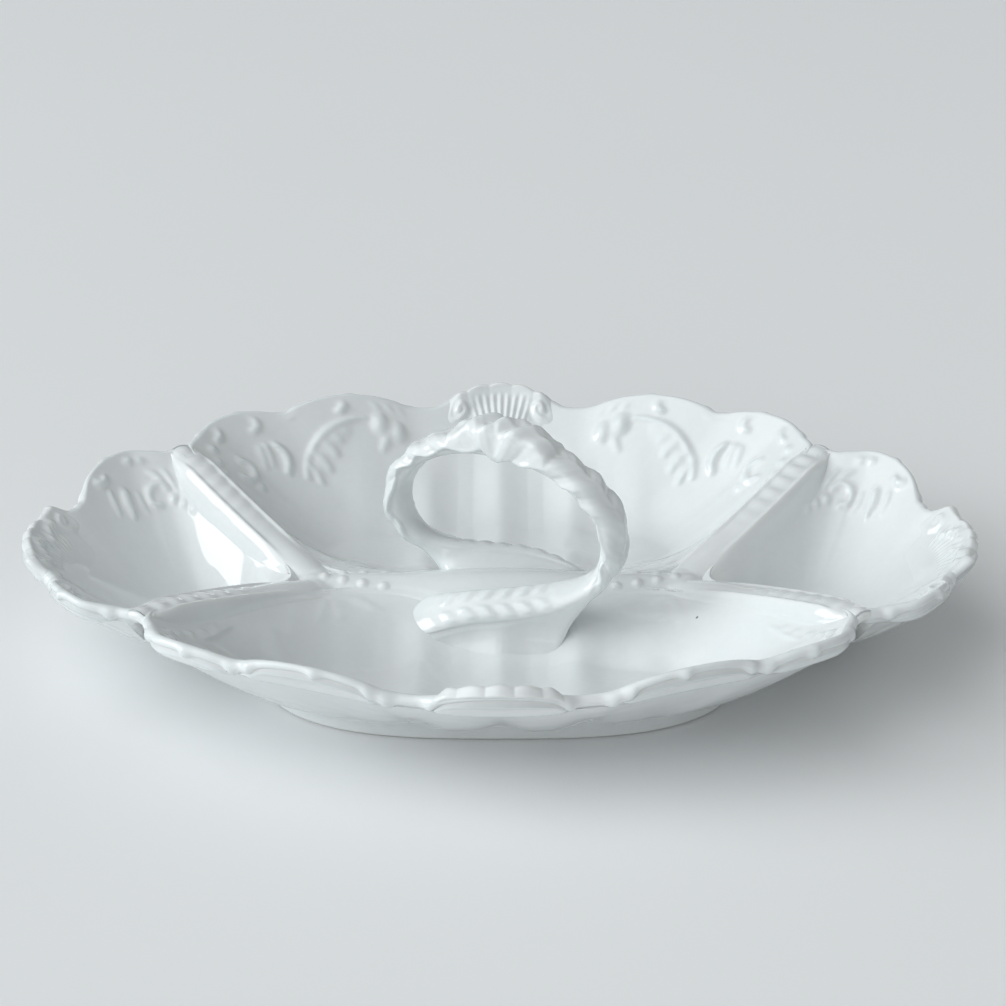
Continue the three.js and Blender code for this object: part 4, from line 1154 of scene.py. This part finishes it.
# Materials: noises as scale and detail, spans and shades as low and high, bumps as distance and strength
CLOUD_NOISE = (24.0, 3.0)
CLOUD_DARK = (0.78, 0.81, 0.815)
CLOUD_PALE = (0.83, 0.85, 0.855)
NOISE_SPAN = (0.3, 0.7)
POOL_SPAN = (0.46, 0.53)
POOLED = (0.95, 0.975, 0.98)
THINNED = (1.0, 0.997, 0.99)
GRAIN_NOISE = (420.0, 2.0)
GRAIN_SPAN = (0.35, 0.65)
GRAIN_SHADES = (0.985, 1.0)
SPECK = (68.0, -27.0)
SPECK_RADIUS = 0.28
SPECK_SHADES = (0.25, 1.0)
GLAZE_IOR = 1.5
ROUGHNESS_NOISE = (65.0, 4.0)
ROUGHNESS = (0.03, 0.075)
WAVE_NOISE = (75.0, 1.0)
WAVE_BUMP = (0.0006, 0.3)
PINHOLE_SCALE = 260.0
PINHOLE_SPAN = (0.0, 0.09)
PINHOLE_BUMP = (0.00006, 0.4)
BARE_EDGE = (0.25, 0.6)
CLAY_NOISE = (700.0, 4.0)
CLAY_DARK = (0.60, 0.60, 0.59)
CLAY_PALE = (0.70, 0.70, 0.69)
CLAY_ROUGHNESS = (0.0, 0.7)
FULL_SPAN = (0.0, 1.0)
MIX_FIRST, MIX_SECOND, MIX_RESULT = 6, 7, 2


def ramp_of(tree, source, span, dark, pale):
    """A value spread between two colours, or two greys."""
    ramp = tree.nodes.new("ShaderNodeValToRGB")
    for spot, place, shade in zip(ramp.color_ramp.elements, span, (dark, pale)):
        spot.position = place
        spot.color = (*shade, 1) if isinstance(shade, tuple) else (shade, shade, shade, 1)
    tree.links.new(source, ramp.inputs["Fac"])
    return ramp.outputs["Color"]


def spread_of(tree, source, low, high, first, last):
    """A value carried from one span to another, held at the ends."""
    span = tree.nodes.new("ShaderNodeMapRange")
    for socket, level in zip(("From Min", "From Max", "To Min", "To Max"), (low, high, first, last)):
        span.inputs[socket].default_value = level
    tree.links.new(source, span.inputs["Value"])
    return span.outputs["Result"]


def noise_of(tree, coords, scale, detail):
    noise = tree.nodes.new("ShaderNodeTexNoise")
    noise.inputs["Scale"].default_value = scale
    noise.inputs["Detail"].default_value = detail
    tree.links.new(coords, noise.inputs["Vector"])
    return noise.outputs["Fac"]


def tint(tree, kind, factor, first, second):
    mix = tree.nodes.new("ShaderNodeMix")
    mix.data_type = "RGBA"
    mix.blend_type = kind
    if isinstance(factor, float):
        mix.inputs["Factor"].default_value = factor
    else:
        tree.links.new(factor, mix.inputs["Factor"])
    tree.links.new(first, mix.inputs[MIX_FIRST])
    tree.links.new(second, mix.inputs[MIX_SECOND])
    return mix.outputs[MIX_RESULT]


def bump_of(tree, height, distance, strength, under=None):
    bump = tree.nodes.new("ShaderNodeBump")
    bump.inputs["Distance"].default_value = distance
    bump.inputs["Strength"].default_value = strength
    tree.links.new(height, bump.inputs["Height"])
    if under is not None:
        tree.links.new(under, bump.inputs["Normal"])
    return bump.outputs["Normal"]


def vector_node(tree, kind, source, value):
    """A vector node of one kind, with its second vector set."""
    node = tree.nodes.new("ShaderNodeVectorMath")
    node.operation = kind
    node.inputs[1].default_value = value
    tree.links.new(source, node.inputs[0])
    return node.outputs


def porcelain(name, bare_foot):
    """Thick white glaze: cool in hollows, warmer over edges, with waves, pinholes and one dark speck."""
    material = bpy.data.materials.new(name)
    material.use_nodes = True
    tree = material.node_tree
    shader = tree.nodes["Principled BSDF"]
    shader.inputs["IOR"].default_value = GLAZE_IOR
    coords = tree.nodes.new("ShaderNodeTexCoord").outputs["Object"]
    clouds = ramp_of(tree, noise_of(tree, coords, *CLOUD_NOISE), NOISE_SPAN, CLOUD_DARK, CLOUD_PALE)
    shape = tree.nodes.new("ShaderNodeNewGeometry").outputs["Pointiness"]
    colour = tint(tree, "MULTIPLY", 1.0, clouds, ramp_of(tree, shape, POOL_SPAN, POOLED, THINNED))
    grain = ramp_of(tree, noise_of(tree, coords, *GRAIN_NOISE), GRAIN_SPAN, *GRAIN_SHADES)
    colour = tint(tree, "MULTIPLY", 1.0, colour, grain)
    plan = vector_node(tree, "MULTIPLY", coords, (1, 1, 0))["Vector"]
    gap = vector_node(tree, "DISTANCE", plan, (*[k * MM for k in SPECK], 0))["Value"]
    speck = spread_of(tree, gap, SPECK_RADIUS * MM, 2 * SPECK_RADIUS * MM, *SPECK_SHADES)
    colour = tint(tree, "MULTIPLY", 1.0, colour, speck)
    rough = ramp_of(tree, noise_of(tree, coords, *ROUGHNESS_NOISE), NOISE_SPAN, *ROUGHNESS)
    waves = bump_of(tree, noise_of(tree, coords, *WAVE_NOISE), *WAVE_BUMP)
    pinholes = tree.nodes.new("ShaderNodeTexVoronoi")
    pinholes.inputs["Scale"].default_value = PINHOLE_SCALE
    tree.links.new(coords, pinholes.inputs["Vector"])
    pits = ramp_of(tree, pinholes.outputs["Distance"], PINHOLE_SPAN, 0.0, 1.0)
    normal = bump_of(tree, pits, *PINHOLE_BUMP, waves)
    if bare_foot:
        height = tree.nodes.new("ShaderNodeSeparateXYZ")
        tree.links.new(coords, height.inputs["Vector"])
        bare = spread_of(tree, height.outputs["Z"], BARE_EDGE[0] * MM, BARE_EDGE[1] * MM, 1.0, 0.0)
        clay = ramp_of(tree, noise_of(tree, coords, *CLAY_NOISE), NOISE_SPAN, CLAY_DARK, CLAY_PALE)
        colour = tint(tree, "MIX", bare, colour, clay)
        rough = tint(tree, "LIGHTEN", 1.0, rough, ramp_of(tree, bare, FULL_SPAN, *CLAY_ROUGHNESS))
    tree.links.new(colour, shader.inputs["Base Color"])
    tree.links.new(rough, shader.inputs["Roughness"])
    tree.links.new(normal, shader.inputs["Normal"])
    return material


GLAZE = porcelain("white_glaze", False)
FOOT_GLAZE = porcelain("foot_glaze", True)
for key, piece in pieces.items():
    piece.data.materials.append(FOOT_GLAZE if key == "foot" else GLAZE)
    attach(piece, "root")
for side in WELLS:
    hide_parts("well_" + side)
    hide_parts("rim_shell_" + side)
for where in ARMS:
    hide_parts("divider_arm_" + where)
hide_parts("divider_spine")
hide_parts("foot_ring")
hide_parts("handle_loop", "handle_tail_front", "handle_tail_rear", "handle_crest")

# Stage, camera and lights; lamps as place, size and power in metres and watts, and colour
FLOOR_SIZE = 8
FLOOR_NOISE = (2.0, 2.0)
FLOOR_DARK = (0.85, 0.86, 0.865)
FLOOR_PALE = (0.866, 0.875, 0.88)
FLOOR_GRAIN = (600.0, 2.0)
FLOOR_BUMP = (0.0002, 0.15)
FLOOR_ROUGHNESS = 0.6
TARGET = Vector((0.001, 0.0, 0.054))
DISTANCE = 0.96
ELEVATION = math.radians(25)
LENS = 98.3
SENSOR_WIDTH = 36
LAMP_TARGET = (0, 0, 0.03)
LAMPS = {
    "window": ((-3.0, -0.15, 1.2), 1.5, 1.4, 34, (0.92, 0.97, 1)),
    "fill": ((-0.2, -2.9, 0.9), 2.4, 1.0, 10, (1, 1, 1)),
}
SKY_LAMP = (-0.62, -0.3, 0.73)
SKY_COLOUR = (0.96, 0.99, 1.0)
SKY_LEVELS = (0.305, 2.0)
SKY_SPREAD = 0.68

bpy.ops.mesh.primitive_plane_add(size=FLOOR_SIZE)
floor_piece = bpy.context.object
floor_piece.name = "floor"
floor_material = bpy.data.materials.new("pale_floor")
floor_material.use_nodes = True
floor_tree = floor_material.node_tree
floor_shader = floor_tree.nodes["Principled BSDF"]
floor_coords = floor_tree.nodes.new("ShaderNodeTexCoord").outputs["Object"]
floor_cloud = noise_of(floor_tree, floor_coords, *FLOOR_NOISE)
floor_colour = ramp_of(floor_tree, floor_cloud, NOISE_SPAN, FLOOR_DARK, FLOOR_PALE)
floor_tree.links.new(floor_colour, floor_shader.inputs["Base Color"])
floor_normal = bump_of(floor_tree, noise_of(floor_tree, floor_coords, *FLOOR_GRAIN), *FLOOR_BUMP)
floor_tree.links.new(floor_normal, floor_shader.inputs["Normal"])
floor_shader.inputs["Roughness"].default_value = FLOOR_ROUGHNESS
floor_piece.data.materials.append(floor_material)


def place_object(name, data, place, aim):
    thing = bpy.data.objects.new(name, data)
    thing.location = place
    thing.rotation_euler = (Vector(aim) - Vector(place)).to_track_quat("-Z", "Y").to_euler()
    bpy.context.scene.collection.objects.link(thing)
    return thing


camera_data = bpy.data.cameras.new("camera")
camera_data.lens = LENS
camera_data.sensor_width = SENSOR_WIDTH
camera_place = TARGET + DISTANCE * Vector((0, -math.cos(ELEVATION), math.sin(ELEVATION)))
bpy.context.scene.camera = place_object("camera", camera_data, camera_place, TARGET)

for name, (place, width, height, power, colour) in LAMPS.items():
    lamp = bpy.data.lights.new(name, "AREA")
    lamp.shape = "RECTANGLE"
    lamp.size = width
    lamp.size_y = height
    lamp.energy = power
    lamp.color = colour
    place_object(name, lamp, place, LAMP_TARGET)
world = bpy.data.worlds.new("studio")
bpy.context.scene.world = world
world.use_nodes = True
sky_tree = world.node_tree
sky_coords = sky_tree.nodes.new("ShaderNodeTexCoord").outputs["Generated"]
sky_way = vector_node(sky_tree, "DOT_PRODUCT", sky_coords, Vector(SKY_LAMP).normalized())["Value"]
sky_level = sky_tree.nodes.new("ShaderNodeValToRGB")
sky_level.color_ramp.interpolation = "EASE"
for spot, level in zip(sky_level.color_ramp.elements, SKY_LEVELS):
    spot.color = (*[level * k for k in SKY_COLOUR], 1)
sky_level.color_ramp.elements[0].position = SKY_SPREAD
sky_tree.links.new(sky_way, sky_level.inputs["Fac"])
sky_tree.links.new(sky_level.outputs["Color"], sky_tree.nodes["Background"].inputs["Color"])
bpy.context.scene.view_settings.view_transform = "Standard"
